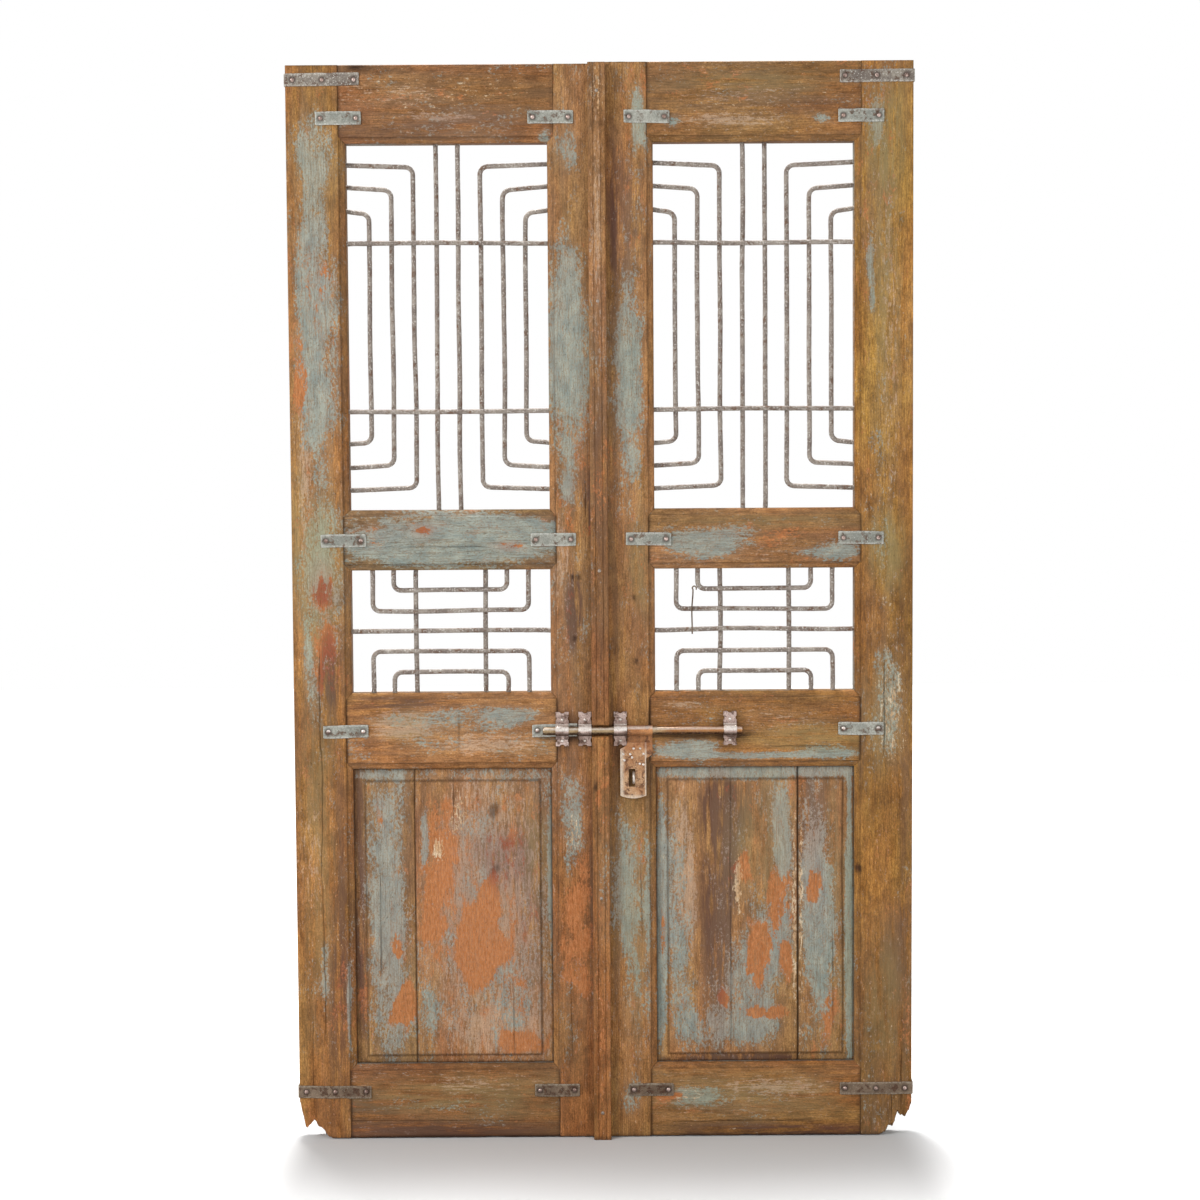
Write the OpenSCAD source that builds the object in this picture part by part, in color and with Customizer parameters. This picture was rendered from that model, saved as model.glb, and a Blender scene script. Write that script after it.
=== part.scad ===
// Weathered pair of panelled door leaves with iron grilles, nailed strap irons,
// a cover strip over the meeting line, and a sliding hasp bolt.
// X runs across the pair from the meeting line, Z runs up from the foot,
// and Y = 0 is the middle of the wood. The front looks along -Y.

/* [Leaves] */
// Width of each leaf
leaf_w = 603; // [560:1:760]
// Height of the left leaf
leaf_h = 2095; // [1740:1:2600]
// How much taller the right leaf stands
right_rise = 3; // [0:1:8]
// Thickness of stiles and rails
leaf_t = 40; // [36:1:50]
// Gap between the two leaves
meeting_gap = 2; // [1:0.5:3]
// Width of the outer stiles
outer_stile_w = 113; // [100:1:140]
// Width of the meeting stiles
meeting_stile_w = 101; // [98:1:125]

/* [Rails and openings] */
// Height of the bottom rail
bottom_rail_h = 148; // [120:1:180]
// Height of the lock rail, which carries the bolt
lock_rail_h = 149; // [120:1:180]
// Height of the rail between the two grilles
middle_rail_h = 117; // [95:1:150]
// Height of the top rail
top_rail_h = 149; // [120:1:180]
// Height of the lower grille's opening
lower_opening_h = 240; // [220:1:300]
// Height of the upper grille's opening
upper_opening_h = 706; // [580:1:860]
// Width of the moulded arris around each opening
moulding_w = 12; // [8:1:14]
// Depth of the moulded arris
moulding_d = 8; // [5:1:10]
// Square step where the moulding starts
quirk = 1.2; // [0.5:0.1:2]

/* [Joints in the wood] */
// How far the tenons reach into the stiles
tenon_l = 75; // [60:1:85]
// Thickness of the tenons
tenon_t = 13; // [10:1:16]
// Wood left above and below each tenon
tenon_shoulder = 30; // [20:1:40]

/* [Panels] */
// Thickness of the panel's edge in its groove
panel_edge_t = 8; // [6:1:10]
// How far the panel reaches into the grooves
groove_d = 10; // [8:1:12]
// How far the raised field stands in front of the panel's edge
field_rise = 6; // [3:1:8]
// Step down at the border of the raised field
field_step = 2; // [1:0.5:3]
// Margin beside the raised field
field_side = 23; // [18:1:30]
// Margin above the raised field
field_top = 25; // [18:1:30]
// Margin below the raised field
field_bottom = 16; // [12:1:24]
// Width of the left panel's narrow board that shows
left_narrow_board = 120; // [100:1:150]
// Width of the right panel's narrow board that shows
right_narrow_board = 111; // [100:1:150]
// Open joint between the left panel's boards
left_board_gap = 0.5; // [0.2:0.1:2]
// Open joint between the right panel's boards
right_board_gap = 1.6; // [0.2:0.1:3]

/* [Grilles] */
// Diameter of the iron rods
rod_d = 9.4; // [8:0.2:12]
// Radius of the bends, along the middle of the rod
bend_r = 15; // [12:1:18]
// How far the rod ends reach into the wood
rod_seat = 18; // [12:1:25]
// Height between the legs of the nested rods
leg_step = 44; // [38:1:50]
// Height from each end of the upper opening to its cross rod
cross_rod_inset = 192; // [180:1:220]
// Distance of the lower grille's uprights from its sides
upright_inset = 127; // [120:1:135]
// Distance between the nested legs of the lower grille
lower_leg_step = 42; // [38:1:46]

/* [Strap irons] */
// Width of the strap irons
strap_w = 25; // [20:1:30]
// Thickness of the strap irons
strap_t = 2.5; // [2:0.5:3]
// Length of the short straps
strap_l = 88; // [80:1:110]
// How far the left leaf's inner straps sit outward of their joint
left_strap_shift = 5; // [4:1:8]
// Length of the corner straps on the front
corner_strap_l = 142; // [130:1:170]
// Length of the corner straps on the back
corner_strap_back_l = 90; // [60:1:130]
// Height of the top corner straps below the top of the leaf
top_strap_drop = 28; // [20:1:40]
// Height of the upper short straps above the top opening
upper_strap_rise = 48; // [30:1:60]
// Height of the bottom straps
bottom_strap_z = 95; // [92:1:110]

/* [Cover strip] */
// Width of the cover strip on the meeting stile
cover_w = 34; // [30:1:38]
// How far the cover strip stands in front
cover_t = 20; // [16:1:22]
// How far the cover strip laps over the right leaf
cover_lap = 11; // [8:1:14]
// Free space above and below the bolt in the cover strip's notch
cover_notch_clear = 3; // [2:0.5:5]

/* [Bolt] */
// Diameter of the bolt
bolt_d = 16; // [14:1:18]
// Free space between the bolt and the strap nail behind it
bolt_clear = 0.2; // [0.2:0.1:1]
// How far the bolt's tip stands past its end keeper
bolt_tip_past = 25; // [20:1:30]
// How far the bolt's tail stands past its tail keeper
bolt_tail_past = 11; // [8:1:20]
// Travel of the bolt when it is drawn
bolt_travel = 131; // [125:1:140]
// Distance between the two keepers of the left leaf, middle to middle
keeper_pitch = 44.5; // [36:0.5:46]
// Distance of the right leaf's first keeper from the meeting line
middle_keeper_x = 33; // [30:1:36]
// Width of the bolt's keepers
keeper_w = 25.4; // [22:0.2:28]
// Thickness of the keepers
keeper_t = 2.5; // [2:0.5:3]
// Height of a keeper above the bolt's axis
keeper_up = 36; // [32:1:40]
// Depth of a keeper below the bolt's axis
keeper_down = 31; // [28:1:33]
// Free space between the bolt and its keepers
keeper_clear = 0.3; // [0.2:0.1:0.6]

/* [Hasp] */
// Width of the hasp strap on the bolt
hasp_w = 49; // [44:1:52]
// Thickness of the hasp strap and plate
hasp_t = 2.2; // [2:0.2:3]
// Width of the hasp plate below its shoulder
plate_w = 50.5; // [46:0.5:56]
// Top edge of the hasp plate below the bolt's axis
plate_top = 24; // [20:1:28]
// Rounded foot of the hasp plate below the bolt's axis
plate_foot = 134; // [125:1:145]
// Length of the plate's slot
slot_l = 35; // [33:1:40]
// Width of the plate's slot
slot_w = 12.4; // [12:0.2:14]
// Middle of the slot and staple below the bolt's axis
staple_drop = 93.5; // [90:0.5:98]
// Diameter of the staple's wire
staple_d = 5; // [4.5:0.5:5.5]
// Height of the staple's eye, outside
staple_h = 25; // [23:1:28]
// How far the staple stands in front of the hasp plate
staple_rise = 12; // [11:0.5:12.5]

/* [Nails] */
// Diameter of a strap nail's head
nail_head_d = 8; // [6:0.5:10]
// Height of a nail's domed head
nail_head_h = 1.8; // [1:0.2:3]
// Diameter of a nail's shank
nail_d = 3; // [2:0.5:4]
// How far a nail reaches into the wood
nail_l = 12; // [8:1:13]
// Diameter of a hasp rivet's head
rivet_head_d = 5; // [4:0.5:6]

/* [Hidden] */

LEFT = -1;
RIGHT = 1;
eps = 1;

// Clearance all round rods, nails and rivets in their holes
hole_clear = 0.1;
// Clearance between faces that only lie against each other
seat_clear = 0.3;

// Distances from the meeting line, the same on both leaves
leaf_in = meeting_gap / 2;
leaf_out = leaf_in + leaf_w;
open_in = leaf_in + meeting_stile_w;
open_out = leaf_out - outer_stile_w;
open_w = open_out - open_in;

// Heights
panel_lo = bottom_rail_h;
upper_hi = leaf_h - top_rail_h;
upper_lo = upper_hi - upper_opening_h;
lower_hi = upper_lo - middle_rail_h;
lower_lo = lower_hi - lower_opening_h;
panel_hi = lower_lo - lock_rail_h;
lock_z = (panel_hi + lower_lo) / 2;
middle_z = (lower_hi + upper_lo) / 2;
function leaf_top(side) = side == RIGHT ? leaf_h + right_rise : leaf_h;

// The three openings of a leaf, and its four rails, each from its foot to its top
openings = [[panel_lo, panel_hi], [lower_lo, lower_hi], [upper_lo, upper_hi]];
function rails(side) = [
  [0, panel_lo], [panel_hi, lower_lo], [lower_hi, upper_lo], [upper_hi, leaf_top(side)]
];
BOTTOM = 0;
LOCK = 1;
MIDDLE = 2;
TOP = 3;

// The front face, and a depth in front of it
face_y = -leaf_t / 2;
function out(d) = face_y - d;

// Colours
teak = [0.55, 0.38, 0.23];
teak_dark = [0.42, 0.28, 0.18];
iron = [0.42, 0.40, 0.38];
painted_iron = [0.55, 0.60, 0.60];
bare_iron = [0.62, 0.58, 0.55];
rust = [0.60, 0.40, 0.24];

// ---------------------------------------------------------------- small tools

module block(lo, hi) {
  translate(lo) cube(hi - lo);
}

module on_side(side) {
  if (side == LEFT) mirror([1, 0, 0]) children();
  else children();
}

// A sheet cut to an outline in X and Z, from y0 back to y1
module sheet(y0, y1) {
  translate([0, y1, 0]) rotate([90, 0, 0]) linear_extrude(y1 - y0) children();
}

module rod_x(x0, x1, y, z, d) {
  translate([x0, y, z]) rotate([0, 90, 0]) cylinder(d = d, h = x1 - x0, $fn = 48);
}

module rod_y(x, y0, y1, z, d) {
  translate([x, y1, z]) rotate([90, 0, 0]) cylinder(d = d, h = y1 - y0, $fn = 32);
}

module rod_z(x, y, z0, z1, d) {
  translate([x, y, z0]) cylinder(d = d, h = z1 - z0, $fn = 48);
}

// A quarter bend in the X-Z plane about [x, z]; turn 0 joins its +X end to its +Z end
module bend(x, y, z, turn, d) {
  translate([x, y, z]) rotate([90, 0, 0]) rotate([0, 0, turn])
    rotate_extrude(angle = 90, $fn = 96) translate([bend_r, 0]) circle(d = d, $fn = 48);
}

// A block whose four edges slope in from the front face: base is lo..hi in X and Z at y0,
// and the sides come in by grow to reach y1. A negative grow makes it spread.
module sloped_block(lo, hi, y0, y1, grow) {
  intersection() {
    translate([0, 0, lo[1] - abs(grow) - eps])
      linear_extrude(hi[1] - lo[1] + 2 * abs(grow) + 2 * eps)
        polygon([[lo[0], y0], [hi[0], y0], [hi[0] - grow, y1], [lo[0] + grow, y1]]);
    translate([lo[0] - abs(grow) - eps, 0, 0]) rotate([90, 0, 90])
      linear_extrude(hi[0] - lo[0] + 2 * abs(grow) + 2 * eps)
        polygon([[y0, lo[1]], [y1, lo[1] + grow], [y1, hi[1] - grow], [y0, hi[1]]]);
  }
}

// ---------------------------------------------------------------- wood

// What the moulded arris takes away around one opening
module arris_cut(opening) {
  lo = [open_in - moulding_w, opening[0] - moulding_w];
  hi = [open_out + moulding_w, opening[1] + moulding_w];
  sloped_block(lo, hi, face_y + quirk, face_y + moulding_d, moulding_w);
  block([lo[0], face_y - eps, lo[1]], [hi[0], face_y + quirk, hi[1]]);
}

module arris_cuts() {
  for (opening = openings) arris_cut(opening);
}

function tenon_lo(rail, i) = rail[0] + (i == BOTTOM ? tenon_shoulder + 10 : tenon_shoulder);
function tenon_hi(rail, i) = rail[1] - (i == TOP ? tenon_shoulder + 20 : tenon_shoulder);

// The two tenons of rail i, grown by clear for its mortises
module tenons(side, i, clear) {
  rail = rails(side)[i];
  z0 = tenon_lo(rail, i) - clear;
  z1 = tenon_hi(rail, i) + clear;
  y = tenon_t / 2 + clear;
  block([open_in - tenon_l - clear, -y, z0], [open_in, y, z1]);
  block([open_out, -y, z0], [open_out + tenon_l + clear, y, z1]);
}

// The front of rail i laps over the stiles by the moulding's width, mitred at each arris
module lapped_shoulders(side, i) {
  rail = rails(side)[i];
  m = moulding_w;
  foot = i == BOTTOM ? 0 : m;
  head = i == TOP ? 0 : m;
  sheet(face_y, face_y + moulding_d) polygon([
    [open_in, rail[0]], [open_in - m, rail[0] + foot],
    [open_in - m, rail[1] - head], [open_in, rail[1]],
    [open_out, rail[1]], [open_out + m, rail[1] - head],
    [open_out + m, rail[0] + foot], [open_out, rail[0]]
  ]);
}

module panel_groove() {
  y = panel_edge_t / 2 + seat_clear;
  g = groove_d + eps;
  block([open_in - g, -y, panel_lo - g], [open_out + g, y, panel_hi + g]);
}

// Holes that the strap nails, keeper nails and staple need in the wood
module fastener_holes() {
  for (side = [LEFT, RIGHT]) strap_nail_set(side, hole_clear);
  keeper_nail_set(hole_clear);
  cover_nail_set(hole_clear);
  staple(hole_clear);
}

module grille_holes() {
  upper_cross_rods(hole_clear);
  upper_bent_rods(hole_clear);
  upper_straight_rods(hole_clear);
  lower_uprights(hole_clear);
  lower_cross_rod(hole_clear);
  lower_bent_rods(hole_clear);
}

module stile(side, x0, x1) {
  difference() {
    block([x0, face_y, 0], [x1, -face_y, leaf_top(side)]);
    arris_cuts();
    for (i = [BOTTOM:TOP]) {
      tenons(side, i, seat_clear);
      lapped_shoulders(side, i);
    }
    panel_groove();
    grille_holes();
    on_side(side) fastener_holes();
  }
}

// Splintered outline of the lost corner at the foot of each outer stile,
// as distances in from the outer edge and up from the foot
left_break = [
  [-9, -9], [-9, 79], [0, 79], [3, 66], [7, 48], [13, 26], [18, 41],
  [26, 43], [40, 29], [53, 17], [60, 5], [71, 0], [71, -9]
];
right_break = [
  [-9, -9], [-9, 66], [0, 66], [3, 50], [11, 37], [17, 36], [24, 50], [28, 52],
  [33, 27], [43, 11], [54, 2], [62, 0], [62, -9]
];

module outer_stile(side) {
  break_outline = side == LEFT ? left_break : right_break;
  color(teak) on_side(side) difference() {
    stile(side, open_out, leaf_out);
    sheet(face_y - eps, -face_y + eps)
      polygon([for (p = break_outline) [leaf_out - p[0], p[1]]]);
  }
}

module meeting_stile(side) {
  color(teak) on_side(side) stile(side, leaf_in, open_in);
}

module rail(side, i) {
  span = rails(side)[i];
  color(teak_dark) on_side(side) difference() {
    union() {
      block([open_in, face_y, span[0]], [open_out, -face_y, span[1]]);
      tenons(side, i, 0);
      lapped_shoulders(side, i);
    }
    arris_cuts();
    panel_groove();
    grille_holes();
    on_side(side) fastener_holes();
  }
}

// The whole fielded panel, before it is parted into boards
module fielded_panel() {
  g = groove_d;
  back_y = panel_edge_t / 2;
  edge_y = -back_y;
  field_y = edge_y - field_rise;
  step_y = field_y + field_step;
  lo = [open_in + field_side, panel_lo + field_bottom];
  hi = [open_out - field_side, panel_hi - field_top];
  block([open_in - g, edge_y, panel_lo - g], [open_out + g, back_y, panel_hi + g]);
  block([lo[0], field_y, lo[1]], [hi[0], edge_y, hi[1]]);
  // The margins slope from the step down to the panel's edge
  spread = field_bottom - seat_clear;
  sloped_block(lo, hi, step_y, edge_y, -spread);
}

// Parts of the panel between two distances from the meeting line
module panel_board(side, x0, x1) {
  color(teak) on_side(side) intersection() {
    fielded_panel();
    block([x0, face_y, 0], [x1, -face_y, leaf_h]);
  }
}

function board_joint(side) =
  open_out - (side == LEFT ? left_narrow_board : right_narrow_board);
function board_gap(side) = side == LEFT ? left_board_gap : right_board_gap;

module wide_board(side) {
  panel_board(side, leaf_in, board_joint(side) - board_gap(side) / 2);
}

module narrow_board(side) {
  panel_board(side, board_joint(side) + board_gap(side) / 2, leaf_out);
}

// The cover strip: three reeds parted by two shallow grooves
module cover_strip() {
  reed_grooves = [10, 24.5];
  groove_r = 1.6;
  x0 = cover_lap - cover_w;
  notch = bolt_d / 2 + cover_notch_clear;
  notch_floor = 3;
  color(teak) difference() {
    linear_extrude(leaf_h) difference() {
      translate([x0, out(cover_t)]) square([cover_w, cover_t - seat_clear]);
      for (x = reed_grooves) translate([x0 + x, out(cover_t)]) circle(r = groove_r, $fn = 24);
      for (x = [x0, cover_lap]) translate([x, out(cover_t)]) circle(r = 2.5, $fn = 32);
    }
    block([x0 - eps, out(cover_t + eps), lock_z - notch],
          [cover_lap + eps, out(notch_floor), lock_z + notch]);
    cover_nail_set(hole_clear);
  }
}

// ---------------------------------------------------------------- grilles

// Uprights and nested rods lie in the back layer, and cross rods in the front one
back_layer = (rod_d + seat_clear) / 2;
front_layer = -back_layer;
// Nine bays across the upper grille and six down the lower one.
// Spacings go to the nearest tenth, and the middle bay takes up what is left.
upper_bays = 9;
lower_bays = 6;
function tenths(x) = round(10 * x) / 10;
bay = tenths(open_w / upper_bays);
lower_bay = tenths(lower_opening_h / lower_bays);

// A rod bent twice, open toward the stile: its upright at x, its legs to x_end
module side_rod(x, x_end, z0, z1, d) {
  s = x_end > x ? 1 : -1;
  x_bend = x + s * bend_r;
  x_leg = x_end + s * rod_seat;
  rod_z(x, back_layer, z0 + bend_r, z1 - bend_r, d);
  for (z = [z0, z1])
    rod_x(min(x_bend, x_leg), max(x_bend, x_leg), back_layer, z, d);
  bend(x_bend, back_layer, z1 - bend_r, s > 0 ? 90 : 0, d);
  bend(x_bend, back_layer, z0 + bend_r, s > 0 ? 180 : 270, d);
}

// A rod bent twice, open toward a rail: its crosspiece at z, its legs to z_end
module rail_rod(x0, x1, z, z_end, d) {
  s = z_end > z ? 1 : -1;
  z_bend = z + s * bend_r;
  z_leg = z_end + s * rod_seat;
  rod_x(x0 + bend_r, x1 - bend_r, front_layer, z, d);
  for (x = [x0, x1])
    rod_z(x, front_layer, min(z_bend, z_leg), max(z_bend, z_leg), d);
  bend(x0 + bend_r, front_layer, z_bend, s > 0 ? 180 : 90, d);
  bend(x1 - bend_r, front_layer, z_bend, s > 0 ? 270 : 0, d);
}

module upper_cross_rods(clear = 0) {
  for (z = [upper_lo + cross_rod_inset, upper_hi - cross_rod_inset])
    rod_x(open_in - rod_seat, open_out + rod_seat, front_layer, z, rod_d + 2 * clear);
}

module upper_straight_rods(clear = 0) {
  for (x = [open_in + 4 * bay, open_out - 4 * bay])
    rod_z(x, back_layer, upper_lo - rod_seat, upper_hi + rod_seat, rod_d + 2 * clear);
}

module upper_bent_rods(clear = 0) {
  for (k = [1:3]) {
    leg = (4 - k) * leg_step;
    side_rod(open_in + k * bay, open_in, upper_lo + leg, upper_hi - leg, rod_d + 2 * clear);
    side_rod(open_out - k * bay, open_out, upper_lo + leg, upper_hi - leg, rod_d + 2 * clear);
  }
}

module lower_uprights(clear = 0) {
  for (x = [open_in + upright_inset, open_out - upright_inset])
    rod_z(x, back_layer, lower_lo - rod_seat, lower_hi + rod_seat, rod_d + 2 * clear);
}

module lower_cross_rod(clear = 0) {
  rod_x(open_in - rod_seat, open_out + rod_seat, front_layer, (lower_lo + lower_hi) / 2,
        rod_d + 2 * clear);
}

module lower_bent_rods(clear = 0) {
  for (k = [1:2]) {
    x = k * lower_leg_step;
    z = (3 - k) * lower_bay;
    rail_rod(open_in + x, open_out - x, lower_hi - z, lower_hi, rod_d + 2 * clear);
    rail_rod(open_in + x, open_out - x, lower_lo + z, lower_lo, rod_d + 2 * clear);
  }
}

// A short length of wire left hanging on the upper bent rods of the right lower grille
module wire_remnant() {
  wire_d = 3;
  x = open_in + 73;
  y = front_layer - (rod_d + wire_d) / 2 - seat_clear;
  color(iron) rod_z(x, y, lower_hi - 3 * lower_bay - 8, lower_hi - lower_bay + 6, wire_d);
}

// ---------------------------------------------------------------- strap irons

shoulder_out = open_out + moulding_w;
// The left leaf's inner straps sit clear of the bolt's second keeper
function shoulder_in(side) = open_in - moulding_w + (side == LEFT ? left_strap_shift : 0);
upper_strap_z = upper_hi + upper_strap_rise;

// A flat iron bar across a joint, with its corners clipped
module bar(x0, x1, z) {
  c = 1.5;
  h = strap_w / 2;
  sheet(out(strap_t), face_y) polygon([
    [x0, z - h + c], [x0 + c, z - h], [x1 - c, z - h], [x1, z - h + c],
    [x1, z + h - c], [x1 - c, z + h], [x0 + c, z + h], [x0, z + h - c]
  ]);
}

module short_strap(side, shoulder, z) {
  color(painted_iron) difference() {
    on_side(side) bar(shoulder - strap_l / 2, shoulder + strap_l / 2, z);
    strap_nail_set(side, hole_clear);
  }
}

// A long bar wrapped round the leaf's outer edge
module corner_strap(side, z) {
  h = strap_w / 2;
  color(iron) difference() {
    on_side(side) difference() {
      union() {
        bar(leaf_out - corner_strap_l, leaf_out, z);
        block([leaf_out, out(strap_t), z - h], [leaf_out + strap_t, strap_t - face_y, z + h]);
        block([leaf_out - corner_strap_back_l, -face_y, z - h],
              [leaf_out, strap_t - face_y, z + h]);
      }
      block([leaf_out - strap_w, face_y, z - h - eps], [leaf_out, -face_y, z + h + eps]);
    }
    strap_nail_set(side, hole_clear);
  }
}

function top_strap_z(side) = leaf_top(side) - top_strap_drop;

// Where each short strap crosses a joint, as [shoulder, height]
function short_straps(side) = concat(
  [for (z = [upper_strap_z, middle_z, lock_z]) [shoulder_out, z]],
  [for (z = [upper_strap_z, middle_z]) [shoulder_in(side), z]],
  side == LEFT ? [[shoulder_in(side), lock_z]] : [],
  [[shoulder_in(side), bottom_strap_z]]
);

// A domed head on a shank, pointing back into the wood from depth d in front of it
module nail(x, z, d, head_d, head_h, shank_l, clear) {
  r = head_d / 2;
  dome_r = (r * r + head_h * head_h) / (2 * head_h);
  rod_y(x, out(d), out(d) + shank_l, z, nail_d + 2 * clear);
  if (clear == 0) translate([x, out(d), z]) rotate([90, 0, 0]) intersection() {
    translate([0, 0, head_h - dome_r]) sphere(r = dome_r, $fn = 32);
    cylinder(r = r + eps, h = head_h + eps, $fn = 32);
  }
}

module strap_nail_set(side, clear = 0) {
  end = strap_l / 2 - 10;
  on_side(side) {
    for (s = short_straps(side), dx = [-end, end])
      nail(s[0] + dx, s[1], strap_t, nail_head_d, nail_head_h, nail_l + strap_t, clear);
    for (z = [top_strap_z(side), bottom_strap_z],
         d = [14, corner_strap_l / 2, corner_strap_l - 10])
      nail(leaf_out - d, z, strap_t, nail_head_d, nail_head_h, nail_l + strap_t, clear);
  }
}

// Heights of the nails that hold the cover strip, with the three between its end nails
// as parts of the leaf's height
cover_end_nail = 54;
cover_nail_heights = [
  cover_end_nail, 0.229 * leaf_h, 0.535 * leaf_h, 0.783 * leaf_h, leaf_h - cover_end_nail
];

module cover_nail_set(clear = 0) {
  for (z = cover_nail_heights)
    nail((2 * cover_lap - cover_w) / 2, z, cover_t, nail_head_d - 1, nail_head_h,
         nail_l + cover_t, clear);
}

// ---------------------------------------------------------------- bolt and hasp

// The bolt passes in front of a nailed strap iron
bolt_out = bolt_d / 2 + strap_t + nail_head_h + bolt_clear;
axis_y = out(bolt_out);
hole_r = bolt_d / 2 + keeper_clear;
arch_r = hole_r + keeper_t;

// The keepers, by the distance of their middle from the meeting line
left_keeper_x = cover_lap - cover_w - seat_clear - keeper_w / 2;
end_keeper_x = left_keeper_x - keeper_pitch;

// The hasp strap starts just right of the middle keeper, and ends its travel
// just short of the tail keeper
stop_gap = 0.8;
travel_spare = 8;
hasp_x0 = middle_keeper_x + keeper_w / 2 + stop_gap;
hasp_x1 = hasp_x0 + hasp_w;
tail_keeper_x = hasp_x1 + bolt_travel + travel_spare + keeper_w / 2;
bolt_x0 = end_keeper_x - keeper_w / 2 - bolt_tip_past;
bolt_x1 = tail_keeper_x + keeper_w / 2 + bolt_tail_past;

// The foot plates of a keeper: two lobes with hollow sides and a notched end.
// The hollows are bites of a circle whose middle stands off the plate by the bite's depth.
module keeper_outline() {
  ear = keeper_w / 2;
  side_bite_r = 5;
  end_bite_r = 6;
  stand_off = 3;
  difference() {
    translate([-ear, -keeper_down]) square([keeper_w, keeper_up + keeper_down]);
    for (s = [-1, 1], z = [keeper_up - 13, 11 - keeper_down])
      translate([s * (ear + stand_off), z]) circle(r = side_bite_r, $fn = 32);
    for (z = [keeper_up + stand_off, -keeper_down - stand_off])
      translate([0, z]) circle(r = end_bite_r, $fn = 32);
  }
}

// An arch over the bolt with a nailed lobe above and below.
// over is the thickness of a strap iron that its feet are bent across.
module keeper(x, over) {
  half = keeper_w / 2;
  bent = strap_w / 2 + seat_clear + keeper_t;
  color(bare_iron) difference() {
    union() {
      translate([x, 0, lock_z]) sheet(out(keeper_t), face_y) keeper_outline();
      rod_x(x - half, x + half, axis_y, lock_z, 2 * arch_r);
      block([x - half, axis_y, lock_z - arch_r], [x + half, face_y, lock_z + arch_r]);
      if (over > 0)
        block([x - half, out(over + keeper_t), lock_z - bent], [x + half, face_y, lock_z + bent]);
    }
    rod_x(x - half - eps, x + half + eps, axis_y, lock_z, 2 * hole_r);
    block([x - half - eps, axis_y, lock_z - hole_r],
          [x + half + eps, face_y + eps, lock_z + hole_r]);
    if (over > 0)
      block([x - half - eps, out(over + seat_clear / 3), lock_z - bent + keeper_t],
            [x + half + eps, face_y + eps, lock_z + bent - keeper_t]);
    keeper_nail_set(hole_clear);
  }
}

// A keeper's nails, above and below the bolt's axis
keeper_nail_z = keeper_down - 10.5;

module keeper_nail_set(clear = 0) {
  for (x = [end_keeper_x, left_keeper_x, middle_keeper_x, tail_keeper_x],
       dz = [keeper_nail_z, -keeper_nail_z])
    nail(x, lock_z + dz, keeper_t, nail_head_d - 2, nail_head_h, nail_l + keeper_t, clear);
}

// The bolt, with its two ends rounded over
module bolt_rod() {
  r = bolt_d / 2;
  c = 2.5;
  l = bolt_x1 - bolt_x0;
  color(rust) translate([bolt_x0, axis_y, lock_z]) rotate([0, 90, 0])
    rotate_extrude($fn = 96)
      polygon([[0, 0], [r - c, 0], [r, c], [r, l - c], [r - c, l], [0, l]]);
}

// Running clearance of the hasp on the bolt
hasp_run = 0.05;
barrel_r = bolt_d / 2 + hasp_run + hasp_t;
tongue_out = bolt_out - barrel_r;
plate_out = tongue_out + hasp_t;
plate_x0 = hasp_x0 - 14;
plate_x1 = plate_x0 + plate_w;
tongue_foot = 50;

// A strap rolled round the bolt, with a flat tongue hanging from the back of the roll
module hasp_strap() {
  color(rust) difference() {
    union() {
      rod_x(hasp_x0, hasp_x1, axis_y, lock_z, 2 * barrel_r);
      block([hasp_x0, out(plate_out), lock_z - tongue_foot],
            [hasp_x1, out(tongue_out), lock_z]);
    }
    rod_x(hasp_x0 - eps, hasp_x1 + eps, axis_y, lock_z, bolt_d + 2 * hasp_run);
    hasp_rivet_set(hole_clear);
  }
}

// The plate steps left below the strap, and its foot is an arc
module hasp_plate() {
  foot_r = 60;
  side_foot = plate_foot - foot_r + sqrt(foot_r * foot_r - plate_w * plate_w / 4);
  slot_x1 = staple_x + staple_d / 2 + 0.5;
  color(bare_iron) difference() {
    translate([0, 0, lock_z]) sheet(out(plate_out + hasp_t), out(plate_out)) difference() {
      intersection() {
        polygon([
          [hasp_x0, -plate_top], [hasp_x1, -plate_top], [hasp_x1, -plate_top - 20],
          [hasp_x1 - 2, -plate_top - 24], [hasp_x1 - 6, -plate_top - 28],
          [plate_x1, -plate_top - 31], [plate_x1, -plate_foot], [plate_x0, -plate_foot],
          [plate_x0, -plate_top - 13], [plate_x0 + 2, -plate_top - 12],
          [hasp_x0 - 2, -plate_top - 6]
        ]);
        translate([(plate_x0 + plate_x1) / 2, foot_r - plate_foot]) union() {
          circle(r = foot_r, $fn = 128);
          translate([-foot_r, 0]) square([2 * foot_r, plate_foot]);
        }
      }
      translate([slot_x1 - slot_w, -staple_drop - slot_l / 2]) square([slot_w, slot_l]);
    }
    hasp_rivet_set(hole_clear);
  }
}

// Rivets of the hasp, right of its strap's left edge and below the bolt's axis
hasp_rivets_at = [
  [12, -36], [25, -36], [-8, -47], [5.5, -47], [31.5, -46.5], [-6, -59], [9, -53.5],
  [24, -66], [31, -67.5]
];

module hasp_rivet_set(clear = 0) {
  for (p = hasp_rivets_at) {
    behind = p[0] > 3 && p[1] > 3 - tongue_foot ? hasp_t : 0;
    nail(hasp_x0 + p[0], lock_z + p[1], plate_out + hasp_t, rivet_head_d, 1.2,
         hasp_t + behind, clear);
  }
}

// The staple stands in the slot, right of its middle, so that the plate can lift clear
// while the bolt starts to slide
staple_x = plate_x0 + 26;

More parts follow.
